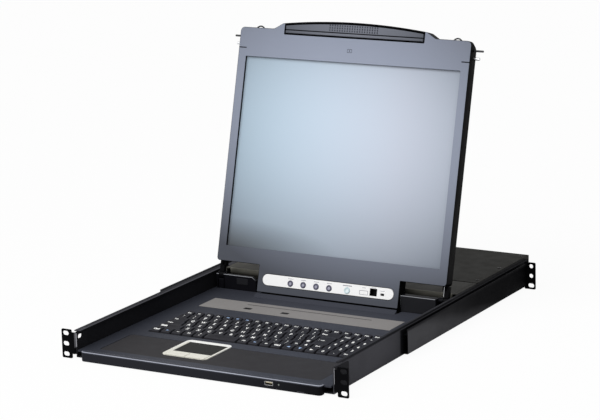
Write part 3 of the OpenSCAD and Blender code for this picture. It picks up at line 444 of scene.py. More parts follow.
def wall_fold(inner, outer, start, end, rows=()):
    """A length of folded wall: its upright sheet and the flange at its top from inner to outer."""
    upright, under = wall_high.x - sheet, wall_top - sheet
    top = [(wall_high.x, wall_top)] if outer == wall_high.x else [
        (wall_high.x, under), (outer, under), (outer, wall_top), (wall_high.x, wall_top - 1e-5)]
    section = [(upright, wall_low.z), (wall_high.x, wall_low.z), *top, (flange_dark, wall_top - 5e-6),
               (flange_dark - 0.0006, wall_top - 1e-5), (inner, wall_top), (inner, under), (upright, under)]
    bends = [0.0004, 0.0004, *([0.0016] if len(top) == 1 else [0.0003, 0.0004, 0.0004, 0]), 0, 0,
             0.0005, 0.0005, 0.0003]
    if inner > flange_dark:
        section, bends = section[:-5] + section[-3:], bends[:-5] + bends[-3:]
    return facing_front(slab([rounded(section, bends)], -end, -start, levels=rows))


def right_wall_painted_light(x, y, z):
    """How pale the right wall is painted as light and shade: its outer face most, with a painted shadow just
    in front of the rear rail and little behind it, a painted highlight on its upper bend, the inner half of
    its flange a little, its outer half hardly, and the rest a little."""
    top = z > wall_top - 2 * hair
    inner = np.interp(y, (0.08, 0.14), (0.40, 0.10))
    outer = np.interp(y, (-0.30, -0.10), (0.12, 0.0))
    face = np.interp(y, (flange_start - hair, flange_start, -0.20, -0.145, -0.134, -0.129),
                     (0.85, 1.0, 1.0, 0.85, 0.75, 0.05))
    bend = (x > wall_high.x - 0.0015) & (z > wall_top - 0.0016)
    plain = np.where(bend, 0.5, 0.19)
    flange = np.where(x < flange_dark - hair, inner, outer)
    return np.where(x > wall_high.x - hair, face, np.where(top, flange, plain))


def left_wall_painted_light(x, y, z):
    """How pale the left wall is painted as light: the inner part of its flange most, its outer lip less, and
    the rest a little.
    """
    top = z > wall_top - 2 * hair
    return np.where(top, np.where(x < wall_high.x - hair, 1.0, 0.37), 0.19)


right_wall = joined(
    wall_front(wall_top),
    wall_fold(wall_low.x, wall_high.x, flange_start, wall_high.y - hair, shade_rows),
    wall_return,
)
lip_front_end = slab([box_outline(lip_in, lip_start, lip_out, flange_start, 0.0004)],
                     wall_top - sheet, wall_top, 0.0003, 0.0003)
left_wall = joined(
    wall_front(wall_top - sheet / 2), lip_front_end, wall_fold(lip_in, lip_out, flange_start, lip_rear),
    wall_fold(wall_low.x, wall_high.x, lip_rear, wall_high.y - hair), wall_return,
)
# Painted light and shade on both walls, by the two rules above.
right_wall, left_wall = painted_light_or_tone(right_wall, right_wall_painted_light), mirrored(painted_light_or_tone(left_wall, left_wall_painted_light))
piece("right_side_wall", right_wall, "chassis", "sheet_black", sheet_black, "right_wall")
piece("left_side_wall", left_wall, "chassis", "sheet_black", sheet_black, "left_wall")
panel_black = finish("panel_black", "222226", 0.6, 0.0011, 0.00006, gloss=0.01)
dressed(panel_black, "base_pan", "rear_panel")


# Front ears
# Black steel angles, each held to its wall by two pan-head screws. The face has three long slots for
# the rack's screws, and the bend beside it is lower and carries a painted highlight.
ear_low, ear_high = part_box("right_front_ear")
ear_black = finish("ear_black", "08080a", 0.5, 0.0009, 0.00005, gloss=0.02, pale="b4b4ba")
ear_plate = 0.002
ear_face_x = ear_high.x - 0.0175
ear_bend = 0.0035
ear_foot = ear_low.z + 0.007
ear_head = ear_high.z - 0.004
ear_middle = ear_high.z / 2
flange_end = ear_high.y
hole_column = 0.4651 / 2
hole_pitch = 0.015875
slot_half = (0.0052, 0.0034)


def rack_slot(z):
    """A long rack hole with round ends, clockwise, at a height."""
    return box_about((hole_column, z), slot_half, slot_half[1] * 0.999, 8)[::-1]


ear_slots = [rack_slot(ear_middle + k * hole_pitch) for k in (-1, 0, 1)]
ear_face = facing_front(slab(
    [box_outline(ear_face_x, ear_low.z, ear_high.x, ear_high.z, ear_plate)] + ear_slots,
    -front_y - ear_plate, -front_y, 0.0004, 0.0003,
))
bend_end = front_y + ear_bend + 0.001
bend_section = rounded(
    [(ear_face_x + 0.0003, front_y), (ear_face_x + 0.0003, front_y + ear_plate),
     (wall_high.x + sheet, front_y + ear_plate), (wall_high.x + sheet, bend_end),
     (wall_high.x, bend_end), (wall_high.x, front_y)],
    (0, 0, 0.0015, 0, 0, ear_bend), 8,
)
bend_crown = ear_bend * (1 - math.sqrt(0.5))
highlight_low, highlight_high = 0.016, 0.019
ear_turn = slab([bend_section], ear_foot, ear_head, 0.0004, 0.0004, (highlight_low, highlight_high))


def highlighted_bend(amount):
    """The bend, with a painted highlight along the upper part of its crown."""
    crown_w = 0.0011

    def crown(x, y, z):
        away = np.hypot(x - wall_high.x - bend_crown, y - front_y - bend_crown)
        return (away < crown_w) & (z > highlight_low + hair)

    return paled(ear_turn, crown, amount)


ear_flange = facing_right(slab(
    [box_outline(front_y + ear_bend, ear_foot, flange_end, ear_head, (0, 0.002, 0.002, 0)),
     latch_hole],
    wall_high.x, wall_high.x + sheet, 0.0004,
))
# Painted light: the flanges' outer faces are painted a little paler, and a thin strip on the left wall's
# front edge is painted pale as a highlight.
ear_flange = paled(ear_flange, lambda x, y, z: x > wall_high.x + hair, 0.3)
left_edge = facing_front(slab([box_outline(-wall_high.x, 0.018, sheet - wall_high.x, 0.039, 0.0003)],
                              -wall_low.y - hair, -wall_low.y + 0.0003))
# Painted highlight on each bend's crown, strong on the right and faint on the left.
piece("right_ear", joined(ear_face, highlighted_bend(0.8)), "chassis", "ear_black", ear_black, "right_front_ear")
left_ear = joined(mirrored(joined(ear_face, highlighted_bend(0.25))), painted_light_or_tone(left_edge, 0.7))
piece("left_ear", left_ear, "chassis", "ear_black", ear_black, "left_front_ear")
piece("ear_flanges", both_sides(ear_flange), "chassis", "sheet_black", sheet_black)

screw_black = finish("screw_black", "1d1d20", 0.4, 0.0004, 0.00002, gloss=0.2)
cross_w, cross_half = 0.0004, 0.0015
cross_mark = rounded(
    [(cross_half, -cross_w), (cross_half, cross_w), (cross_w, cross_w), (cross_w, cross_half),
     (-cross_w, cross_half), (-cross_w, cross_w), (-cross_half, cross_w), (-cross_half, -cross_w),
     (-cross_w, -cross_w), (-cross_w, -cross_half), (cross_w, -cross_half), (cross_w, -cross_w)], 0,
)[::-1]
screws = [
    moved(facing_right(slab([round_outline(0, 0, 0.0028), cross_mark], 0, 0.0012, 0.0007)),
          wall_high.x + sheet, y, ear_middle)
    for y in front_y + (flange_end - front_y) * np.array([0.4, 0.8])
]
piece("ear_screw_heads", both_sides(joined(*screws)), "chassis", "screw_black", screw_black, "ear_screws")


# Rear rails
# Channels of the same black sheet that slide along the walls to suit the rack's depth. The upper edge
# stands above a sunken flange, and the rear ear has two round holes and a slot for the rack's posts.
# The left one starts further back and stands a little higher.
rail_low, rail_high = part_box("right_rear_rail")
rail_out = wall_high.x + 0.009
rail_web = rail_out - sheet
rail_in = rail_low.x
rail_top = wall_high.z
rail_foot = rail_top - 0.0376
rail_ledge = rail_top - 0.008
rail_ear = front_y + 0.6276
rail_ear_x = rail_out - 0.004
rail_black = finish("rail_black", "08080a", 0.6, 0.0011, 0.00006, gloss=0.01, pale="525255")


def channel(top):
    """A rail's section up to a height, with three more points on its outer face to carry the shading."""
    return rounded(
        [(rail_in, rail_foot), (rail_out, rail_foot), (rail_out - 5e-6, rail_top - 0.020),
         (rail_out - 1e-5, rail_top - 0.010), (rail_out - 5e-6, rail_top - 0.004), (rail_out, top),
         (rail_web, top), (rail_web, rail_ledge), (rail_in, rail_ledge), (rail_in, rail_ledge - sheet),
         (rail_web, rail_ledge - sheet), (rail_web, rail_foot + sheet), (rail_in, rail_foot + sheet)],
        (0.0004, 0.0013, 0, 0, 0, 0.0004, 0.0004, 0.0003, 0.0004, 0.0004, 0.0003, 0.0003, 0.0004),
    )


rail_tops = {"right": rail_top, "left": rail_top + 0.0018}
rail_starts = {"right": rail_low.y, "left": rail_low.y + 0.036}
rail_holes = [round_outline(hole_column, ear_middle + k * hole_pitch, slot_half[1], 32)[::-1] for k in (0, 1)]
rail_holes.append(rack_slot(ear_middle - hole_pitch))
rail_plate = facing_front(slab(
    [box_outline(rail_ear_x, 0.0, rail_high.x, ear_high.z, ear_plate)] + rail_holes,
    -rail_ear - ear_plate, -rail_ear, 0.0004, 0.0003,
))
rail_rows = (-0.20, -0.10, -0.06, -0.02, 0.02, 0.06)


def rail_painted_light(x, y, z):
    """How pale a rail's outer face is painted as light: bright towards the front and the foot, by a soft step
    across a line that falls one part in five towards the rear."""
    past = rail_top - z - 0.19 * (y + 0.081)
    plain = np.interp(y, (-0.02, 0.02, 0.06, 0.10, 0.20), (0.25, 0.20, 0.13, 0.05, 0.0))
    return plain + (1 - plain) / (1 + np.exp(-past / 0.0035))


for side, start in rail_starts.items():
    run = facing_front(slab([channel(rail_tops[side])], -rail_high.y, -start, 0.0002, 0.0002, rail_rows))
    # Painted light: the outer face is painted paler towards the front and the foot, and the top edge a little
    # paler on the right and fully pale on the left.
    run = paled(run, lambda x, y, z: x > rail_out - hair, rail_painted_light(*run[0].T))
    run = paled(run, lambda x, y, z: z > rail_tops[side] - 5 * hair, 0.15 if side == "right" else 1.0)
    rail = joined(run, rail_plate)
    piece(side + "_rail_channel", rail if side == "right" else mirrored(rail), side + "_rail", "sheet_black",
          rail_black, side + "_rear_rail")


# Switch box
# The closed rear part of the chassis: a folded lid with a front wall and sides, of black sheet with a
# warm cast, screwed down over the circuit board and the power supply.
box_low, box_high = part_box("box_cover")
cover_black = finish("cover_black", "1b1a15", 0.5, 0.0012, 0.00007, gloss=0.04)
wall_head = box_high.z - 0.0005
lid = slab([footprint(box_low, box_high, 0.0006)], box_high.z - sheet, box_high.z, 0.0007)
lid_front = facing_front(slab(
    [box_outline(box_low.x, box_low.z, box_high.x, wall_head)], -box_low.y - sheet, -box_low.y, 0.0004,
))
lid_side = facing_right(slab(
    [box_outline(box_low.y + hair, box_low.z, box_high.y, wall_head)], box_high.x - sheet, box_high.x - hair,
))
box_lid = joined(lid, lid_front, both_sides(lid_side))
piece("switch_box_lid", box_lid, "chassis", "cover_black", cover_black, "box_cover")
lid_screw = slab([round_outline(0, 0, 0.003), cross_mark], 0, 0.0006, 0.0004)
lid_screws = [
    moved(lid_screw, x, y, box_high.z)
    for x in (box_low.x + 0.008, box_high.x - 0.008)
    for y in np.linspace(box_low.y + 0.015, box_high.y - 0.015, 3)
]
piece("lid_screws", joined(*lid_screws), "chassis", "screw_black", screw_black)

board_green = finish("board_green", "1a4a33", 0.4, 0.0016, 0.00003, drift=0.3, gloss=0.4)
supply_case = finish("supply_case", "a9abad", 0.35, 0.0006, 0.00002, gloss=0.5, metal=1.0,
                     stretch=(1, 0.05, 1))
dressed(board_green, "switch_board", "drawer_board", "display_board", "control_board")
dressed(supply_case, "power_supply")


# Rear panel fittings
# Computer ports in plated D-shaped shells with blue insulators, two flat sockets, the moulded mains
# inlet with its three flat pins, and the rocker switch. All are set into the punched rear panel.
panel_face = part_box("rear_panel")[1].y
plated_steel = finish("plated_steel", "b9babd", 0.3, 0.0008, 0.00001, gloss=0.5, metal=1.0)
port_blue = finish("port_blue", "24407e", 0.45, 0.0006, 0.00002, gloss=0.3)
port_count = 8
port_pitch = 0.033
first_port = -0.080
port_z = 0.01585
shell_out = 0.0055
shell_half = (0.0085, 0.0042)
shell_lean = 0.0008
shell_wall = 0.0005


def shell_outline(inset):
    """The D-shaped mouth of a port: a rectangle a little narrower at its foot, with round corners."""
    w, h = shell_half[0] - inset, shell_half[1] - inset
    return rounded([(shell_lean - w, -h), (w - shell_lean, -h), (w, h), (-w, h)], 0.0018 - inset)


origin = (0, 0)
port_plate = slab([box_about(origin, (0.0155, 0.00625), 0.001)], 0.0, 0.0008, 0.0003)
port_shell = slab([shell_outline(0), shell_outline(shell_wall)[::-1]], 0.0, shell_out, hair)
nut = slab([round_outline(0, 0, 0.0027, 6), round_outline(0, 0, 0.0014, 16)[::-1]], 0.0008, 0.0048, 0.0003)
port_metal = joined(port_plate, port_shell, moved(nut, -0.0125), moved(nut, 0.0125))
pin_holes = [
    round_outline(0.0023 * k + shift, row, 0.0005, 10)[::-1]
    for row, shift in ((-0.0021, -0.0006), (0.0, 0.0006), (0.0021, -0.0006)) for k in range(-2, 3)
]
port_core = slab([shell_outline(shell_wall)] + pin_holes, 0.0008, shell_out - 0.0008, 0.0002)
flat_half = (0.0067, 0.0029)
flat_wall = 0.0005
flat_x = 0.112
flat_places = [(flat_x, port_z), (flat_x, port_z + 4 * flat_half[1])]
flat_mouth = box_about(origin, (flat_half[0] - flat_wall, flat_half[1] - flat_wall), 0.0003)
flat_shell = slab([box_about(origin, flat_half, 0.0006), flat_mouth[::-1]], -0.010, 0.001, hair)
flat_back = slab([flat_mouth], -0.0095, -0.009)
flat_tongue = slab([box_outline(-0.0055, 0.0003, 0.0055, 0.0021)], -0.009, -0.0005, 0.0002)
flat_core = joined(flat_back, flat_tongue)
ports = [(-(first_port + port_pitch * k), port_z) for k in range(port_count)]


def on_panel(*places_and_shapes):
    """Shapes set at places on the rear panel's outer face, facing back."""
    placed = [moved(shape, *place) for place, shape in places_and_shapes]
    return moved(facing_back(joined(*placed)), y=panel_face)


shells = on_panel(*[(p, port_metal) for p in ports], *[(p, flat_shell) for p in flat_places])
cores = on_panel(*[(p, port_core) for p in ports], *[(p, flat_core) for p in flat_places])
piece("port_shells", shells, "chassis", "port_shell", plated_steel, "rear_ports")
piece("port_insulators", cores, "chassis", "port_blue", port_blue)

inlet_black = finish("inlet_black", "101011", 0.4, 0.0007, 0.00003, gloss=0.15)
inlet = (0.170, 0.020)
inlet_half = (0.0119, 0.0084)
inlet_mouth = box_about(origin, inlet_half, (0.001, 0.001, 0.004, 0.004))
inlet_body = joined(
    slab([box_about(origin, (0.0155, 0.012), 0.002), inlet_mouth[::-1]], 0.0, 0.0015, 0.0007),
    slab([box_about(origin, (0.0135, 0.010), 0.001), inlet_mouth[::-1]], -0.017, 0.0005),
    slab([inlet_mouth], -0.0185, -0.0168),
)
rocker_half = (0.0063, 0.0093)
rocker_frame = slab([box_about(origin, (0.008, 0.011), 0.0015), box_about(origin, rocker_half)[::-1]],
                    -0.008, 0.0015, 0.0006)
rocker_place = (0.138, inlet[1])
moulding = on_panel((inlet, inlet_body), (rocker_place, rocker_frame))
piece("inlet_moulding", moulding, "chassis", "inlet_black", inlet_black, "power_inlet")
pin = slab([box_about(origin, (0.001, 0.002), 0.0004)], -0.017, -0.0031, 0.0004)
pin_places = [(inlet[0] + x, inlet[1] + z) for x, z in ((-0.007, -0.002), (0.0, 0.002), (0.007, -0.002))]
piece("inlet_pins", on_panel(*[(p, pin) for p in pin_places]), "chassis", "port_shell", plated_steel)
dressed(finish("rocker_black", "0b0b0c", 0.3, 0.0006, 0.00001, gloss=0.3), "rocker_switch")


# Slides and drawer pan
# Three nested channels of zinc-plated steel on each side carry the drawer. Its pan is a shallow
# folded tray of coated sheet.
slide_steel = finish("slide_steel", "a4a6aa", 0.32, 0.0005, 0.00002, gloss=0.5, metal=1.0,
                     stretch=(1, 0.03, 1))
pan_grey = finish("pan_grey", "141416", 0.55, 0.0011, 0.00006, gloss=0.03)
dressed(slide_steel, "outer_slides", "mid_slides", "inner_slides")
dressed(pan_grey, "drawer_pan")


# Deck
# One moulding of slate-coloured plastic with a fine spark texture. It has openings for the keys and
# the touchpad and rises to a notch for the display's foot; a palm rest is let into its front.
deck_low, deck_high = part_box("deck")
# Painted shade: the deck darkens towards both sides, where the walls shade it.
deck_side_shade = (0.03, 0, 0, 0.25, 1000, "2c2e35")
deck_slate = finish("deck_slate", "3c3e46", 0.5, 0.0008, 0.00004, gloss=0.05, fade=deck_side_shade)
keys_low, keys_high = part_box("function_keys")
bottom_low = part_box("bottom_keys")[0]
key_border = 0.001
pad_low, pad_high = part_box("touchpad")
button_low, button_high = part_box("left_touch_button")
set_gap = 0.0002
palm_half = 0.186
palm_front = front_y + 0.017
palm_back = front_y + 0.104
palm_gap = 0.0005
palm_drop = 0.0005
foot_notch = 0.127
notch_front = front_y + 0.366
notched = rounded(
    [(deck_low.x, deck_low.y), (deck_high.x, deck_low.y), (deck_high.x, deck_high.y),
     (foot_notch, deck_high.y), (foot_notch, notch_front), (-foot_notch, notch_front),
     (-foot_notch, deck_high.y), (deck_low.x, deck_high.y)],
    (0.001, 0.001, 0.001, 0.001, 0.003, 0.003, 0.001, 0.001),
)
keys_opening = box_outline(keys_low.x - key_border, bottom_low.y - key_border,
                           keys_high.x + key_border, keys_high.y + key_border, 0.002)
palm_opening = box_outline(-palm_half, palm_front, palm_half, palm_back, 0.006)
deck = slab([notched, keys_opening[::-1], palm_opening[::-1]], deck_low.z, deck_high.z, 0.0006)
apron_front, apron_back, apron_top = notch_front - 0.006, notch_front + 0.003, deck_high.z + 0.0048
apron = facing_right(slab(
    [rounded([(apron_front, deck_low.z + hair), (apron_back, deck_low.z + hair), (apron_back, apron_top),
              (apron_back - 0.001, apron_top), (apron_front, deck_high.z)], (0, 0, 0.0003, 0.0006, 0))],
    -foot_notch + 0.002, foot_notch - 0.002,
))
piece("deck_moulding", joined(deck, apron), "drawer", "deck_slate", deck_slate, "deck")
palm_grey = finish("palm_grey", "343335", 0.55, 0.0007, 0.00004, gloss=0.03)
pad_openings = [
    box_outline(low.x - set_gap, low.y - set_gap, high_x + set_gap, high.y + set_gap, 0.0006)[::-1]
    for low, high, high_x in ((pad_low, pad_high, pad_high.x),
                              (button_low, button_high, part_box("right_touch_button")[1].x))
]
palm_rest = slab([drawn_in(palm_opening, palm_gap)] + pad_openings,
                 deck_low.z, deck_high.z - palm_drop, 0.0005)
piece("palm_rest", palm_rest, "drawer", "deck_slate", palm_grey)


# Front lip
# A moulded rail across the drawer's front, which is also its handle: a slate cap whose upper edge
# carries a painted highlight, on a front with rounded ends whose slate is painted near black as the shade on
# that face, and darker still towards the right. A flat socket and a small lamp are set into it.
lip_low, lip_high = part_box("front_lip")
socket_low, socket_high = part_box("front_usb_port")
lip_front_shade = (-0.10, 0, 0, 0.30, 1000, "0d0d10")
# Painted shade: the front takes a far darker slate than the cap, fading darker still away from its left part.
lip_black = finish("lip_black", "25262b", 0.45, 0.0008, 0.00002, gloss=0.03, fade=lip_front_shade)
lip_slate = finish("lip_slate", "393b43", 0.45, 0.0008, 0.00003, gloss=0.05, pale="a9acb8")
lip_end = 0.006
lip_face = lip_low.y + 0.0003
lip_split = lip_high.z - 0.0022
lip_rim = 0.0014
lip_drop = 0.001
lip_outline = rounded(
    [(lip_low.x, lip_face), (lip_high.x, lip_face), (lip_high.x, lip_high.y), (lip_low.x, lip_high.y)],
    (lip_end, lip_end, 0, 0), 10,
)
face_end = np.abs(lip_outline - (lip_high.x - lip_end, lip_face)).sum(1).argmin()
lip_outline = np.insert(lip_outline, face_end, [(socket_low.x, lip_face), (socket_high.x, lip_face)], 0)


def window(shape, low, high):
    """A shape without the quads that lie wholly between two corners."""
    inside = ((shape[0] >= np.array(low) - 1e-6) & (shape[0] <= np.array(high) + 1e-6)).all(1)
    return (shape[0], shape[1][~inside[shape[1]].all(1)]) + shape[2:]


lip = slab([lip_outline], lip_low.z - lip_drop, lip_split, 0, 0.0012, (socket_low.z, socket_high.z), 6)
lip = window(lip, (socket_low.x, lip_face, socket_low.z), (socket_high.x, lip_face, socket_high.z))
piece("lip_front", lip, "drawer", "lip_black", lip_black, "front_lip")


def bright_edge(x, y, z):
    """Where the cap catches the light: on the upper part of its rounded rim, but not at its back."""
    below = (lip_high.z - z) / lip_rim
    return (below < 0.55) & (below > 0.02) & (y < lip_high.y - hair)


lip_cap = paled(slab([lip_outline], lip_split, lip_high.z, lip_rim, steps=6), bright_edge)
piece("lip_cap", lip_cap, "drawer", "lip_black", lip_slate)
socket_middle = ((socket_low.x + socket_high.x) / 2, (socket_low.z + socket_high.z) / 2)
socket_mouth = lip_face + 0.0008
mouth_shell, mouth_core = (moved(facing_front(moved(part, *socket_middle)), y=socket_mouth)
                           for part in (flat_shell, flat_core))
piece("front_socket_shell", mouth_shell, "drawer", "port_shell", plated_steel, "front_usb_port")
ivory_core = finish("ivory_core", "d9cfae", 0.4, 0.0006, 0.00001, gloss=0.3)
piece("front_socket_tongue", mouth_core, "drawer", "ivory", ivory_core)
slot_corners = (0.1635, 0.0026, 0.1747, 0.0034)
slot_mark = slab([box_outline(*slot_corners, 0.0003)], -lip_face - 0.001, -lip_face + 0.0001)
slot_grey = finish("slot_grey", "4c4c52", 0.4, 0.0005, 0.00001)
piece("lip_slot", facing_front(slot_mark), "drawer", "window_dark", slot_grey)
lamp_clear = finish("lamp_clear", "6d7470", 0.2, 0.0005, 0.00001, gloss=0.4)
lamp_x, lamp_r = 0.134, 0.0013
lamp = slab([round_outline(lamp_x, socket_middle[1], lamp_r)], -lip_face - 0.002, -lip_face + 0.0002, 0.0002)
piece("lip_lamp", facing_front(lamp), "drawer", "window_dark", lamp_clear)


# Info strip
# A printed film of warm grey, glued to the deck behind the keyboard. It has two dark indicator windows
# and a thin printed rule.
strip_low, strip_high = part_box("info_strip")
strip_end = 0.159
strip_grey = finish("strip_grey", "868381", 0.5, 0.0008, 0.00001, drift=0.05, gloss=0.05)
window_dark = finish("window_dark", "0c0b0c", 0.3, 0.0006, 0.00001, gloss=0.03)
window_half = (0.0065, 0.0045)
window_y = strip_low.y + 0.017
window_holes = [box_about((x, window_y), window_half, 0.0008) for x in (-0.097, -0.031)]
strip_film = slab([box_outline(strip_low.x, strip_low.y, strip_end, strip_high.y, 0.001)]
                  + [hole[::-1] for hole in window_holes], strip_low.z, strip_high.z, 0.0002)
piece("strip_film", strip_film, "drawer", "strip_grey", strip_grey, "info_strip")
lenses = [slab([drawn_in(hole, set_gap)], strip_low.z, strip_high.z - hair, 0.0002) for hole in window_holes]
rule_half = 0.109
rule_y = strip_low.y + 0.036
rule_w = 0.0018
rule = slab([box_outline(-rule_half, rule_y, rule_half, rule_y + rule_w)],
            strip_high.z - hair, strip_high.z + hair / 2)
piece("strip_windows", joined(rule, *lenses), "drawer", "window_dark", window_dark, "indicator_windows")


# Keyboard
# Black caps on a 19 mm pitch, in six rows, each narrower and dished at its top and tipped towards the
# front, over a guide plate. The legends are printed on the caps.
key_black = finish("key_black", "1a1a1d", 0.5, 0.0006, 0.00003, gloss=0.05, pale="3c3c42")
dressed(finish("plate_grey", "0e0e0f", 0.6, 0.001, 0.00003), "keyboard_plate")
pitch = 0.01905
key_gap = 0.001
keys_left = -9 * pitch
keys_front = bottom_low.y - key_gap / 2
cap_foot = deck_low.z + 0.0003
cap_top = keys_high.z
cap_taper = 0.002
cap_edge = 0.0005
cap_tip = 0.0018
dish = 0.0004
function_depth = 0.016
function_gap = 0.002
no_quads = np.zeros((0, 4), int)


def tipped(y, half_d):
    """Height of a cap's upper edge: it falls evenly from the back to the front."""
    return cap_top - cap_tip * (half_d - y) / (2 * half_d)


def dished(x, y, half_w, half_d):
    """Height of a cap's top: below the tipped plane by a dish, the product of two parabolas."""
    across, along = (np.clip(1 - (place / half) ** 2, 0, 1) for place, half in ((x, half_w), (y, half_d)))
    return tipped(y, half_d) - dish * across * along


def key_cap(width, depth):
    """One cap about its own middle: rounded rectangles from the foot up the leaning sides, round the
    upper edge, painted pale as a highlight, and in to the middle of the dished top, joined ring to ring."""
    top_w, top_d = width / 2 - cap_taper, depth / 2 - cap_taper
    rings = [at_level(box_about(origin, (width / 2, depth / 2), 0.0012, 3), cap_foot)]
    for angle in np.linspace(0, np.pi / 2, 4):
        loop = box_about(origin, [half + cap_edge * np.cos(angle) for half in (top_w, top_d)], 0.0022, 3)
        height = tipped(loop[:, 1], top_d + cap_edge) - cap_edge * (1 - np.sin(angle))
        rings.append(np.column_stack([loop, height]))
    for share in (0.75, 0.5, 0.25, 0.02):
        inner = rings[4][:, :2] * share
        rings.append(np.column_stack([inner, dished(*inner.T, top_w, top_d)]))
    # Painted light: the upper edge is painted pale as a highlight, and the top a little paler than the sides.
    ring_tones = (0, 0.3, 1, 1, 0.6, 0.3, 0.3, 0.3, 0.3)
    return painted_light_or_tone(stacked([rings]), np.repeat(ring_tones, len(rings[0])))


def lettering(words, size, bold=0.03):
    """Words in the plain built-in typeface, made bolder by a share of their size, as a flat shape
    centred on the origin."""
    curve = bpy.data.curves.new("lettering", "FONT")
    curve.body = words
    curve.size = size
    curve.offset = bold * size
    curve.align_x = "CENTER"
    curve.align_y = "CENTER"
    curve.resolution_u = 2
    holder = bpy.data.objects.new("lettering", curve)
    mesh = bpy.data.meshes.new_from_object(holder)
    mesh.calc_loop_triangles()
    points = np.zeros(len(mesh.vertices) * 3)
    mesh.vertices.foreach_get("co", points)
    tris = np.zeros(len(mesh.loop_triangles) * 3, int)
    mesh.loop_triangles.foreach_get("vertices", tris)
    bpy.data.meshes.remove(mesh)
    bpy.data.objects.remove(holder)
    bpy.data.curves.remove(curve)
    points = points.reshape(-1, 3)
    return points, no_quads, tris.reshape(-1, 3), np.zeros(len(points))


def arrow(turns):
    """A small triangle that points right, turned anticlockwise by quarter turns."""
    angle = turns * np.pi / 2 + np.array([0, 2.3, -2.3])
    points = 0.0034 * np.stack([np.cos(angle), np.sin(angle), np.zeros(3)], 1)
    return points, no_quads, np.array([[0, 1, 2]]), np.zeros(3)


def legend(mark, width, depth):
    """A key's legend, laid on its dished top. Single signs stand large, words small and at the left of
    a wide key; two lines of a mark are set one above the other."""
    if isinstance(mark, int):
        shape = arrow(mark)
    else:
        lines = mark.split("|")
        heavy = mark in ("Ctrl", "Shift")
        size = 0.0078 if len(mark) == 1 else 0.0060 if heavy else 0.0048
        bold = 0.07 if heavy else 0.03
        half_line = 0.0027
        shape = joined(*[moved(lettering(line, size, bold), y=half_line * (len(lines) - 1 - 2 * k))
                         for k, line in enumerate(lines)])
        if width > 1.2 * pitch:
            shape = moved(shape, cap_taper + 0.002 - width / 2 - shape[0][:, 0].min(), 0.001)
    points = shape[0].copy()
    ink_t = 0.00006
    points[:, 2] = dished(points[:, 0], points[:, 1], width / 2 - cap_taper, depth / 2 - cap_taper) + ink_t
    return (points,) + shape[1:]


rows = {
    "bottom_keys": (0, [1] * 5 + [-3] + [1] * 10,
                    ["Ctrl", "Fn", "~", "Alt", "<|>", "Alt", "Fn", "=", "Ctrl", 2, 3, 0, "0", ".", "Ent"]),
    "shift_keys": (1, [2.25] + [1] * 10 + [0.75, 1, 1, 1, 1, 1],
                   ["Shift"] + list("ZXCVBNM") + ["<|,", ">|.", "?|/"] + ["Sh", 1, "End", "1", "2", "3"]),
    "home_keys": (2, [1.75] + [1] * 11 + [0.75, -1.5, 1, 1, 1],
                  ["Caps"] + list("ASDFGHJKL") + [":|;", "\"|'", "#", "4", "5", "6"]),
    "upper_keys": (3, [1.5] + [1] * 12 + [-1.5, 1, 1, 1],
                   ["Tab"] + list("QWERTYUIOP") + ["{|[", "}|]", "7", "8", "9"]),
    "number_keys": (4, [1] * 13 + [2, 1, 1, 1],
                    ["|".join(pair) for pair in zip("~!@#$%^&*()_+", "`1234567890-=")]
                    + ["Bksp", "Num", "/", "*"]),
    "function_keys": (5, [0.9] * 20,
                      ["Esc"] + ["F%d" % k for k in range(1, 13)]
                      + ["Prt", "Scr", "Brk", "Ins", "Del", "Hm", "End"]),
}
inks = {
    "white": finish("legend_white", "f6f6f4", 0.5, 0.0006, 0.00001, drift=0.04),
    "blue": finish("legend_blue", "9db4d6", 0.5, 0.0006, 0.00001, drift=0.04),
}
blue_marks = {"F4", "F5", "F6", "Fn", 2, 3}
for node, (row, widths, marks) in rows.items():
    depth = function_depth if row == 5 else pitch
    middle_y = keys_front + row * pitch + depth / 2 + (function_gap if row == 5 else 0)
    ends = np.cumsum(np.abs(widths)) * pitch
    places = [(keys_left + end - w * pitch / 2, w * pitch - key_gap)
              for end, w in zip(ends, widths) if w > 0]
    caps = [moved(key_cap(w, depth - key_gap), x, middle_y) for x, w in places]
    piece(node + "_caps", joined(*caps), node, "key_black", key_black, node)
    for ink, material in inks.items():
        printed = [moved(legend(mark, w, depth - key_gap), x, middle_y)
                   for (x, w), mark in zip(places, marks) if (mark in blue_marks) == (ink == "blue")]
        if printed:
            piece(node + "_legends_" + ink, joined(*printed), node, "white_panel", material)
space = moved(key_cap(3 * pitch - key_gap, pitch - key_gap),
              keys_left + 6.5 * pitch, keys_front + pitch / 2)
piece("space_bar_cap", space, "space_bar", "key_black", key_black, "space_bar")
enter_size = (1.5 * pitch - key_gap, 2 * pitch - key_gap)
enter_place = (keys_left + 14.25 * pitch, keys_front + 3 * pitch)
enter_cap, enter_word = (moved(shape, *enter_place)
                         for shape in (key_cap(*enter_size), legend("Enter", *enter_size)))
piece("enter_key_cap", enter_cap, "enter_key", "key_black", key_black, "enter_key")
piece("enter_key_legend", enter_word, "enter_key", "white_panel", inks["white"])


# Touchpad
# A pale moulded frame with round corners stands on the palm rest round the dark sensing pad and its
# two buttons.
pad_frame_low, pad_frame_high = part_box("touchpad_frame")
ivory = finish("ivory", "dddbd0", 0.4, 0.0007, 0.00002, drift=0.05, gloss=0.2, pale="f4f4f2")
pad_grey = finish("pad_grey", "30302f", 0.6, 0.0005, 0.00003, gloss=0.03)
frame_rim = 0.0008
frame_outline = box_outline(pad_frame_low.x, pad_frame_low.y + 0.002,
                            pad_frame_high.x - 0.004, pad_frame_high.y, 0.008, 8)
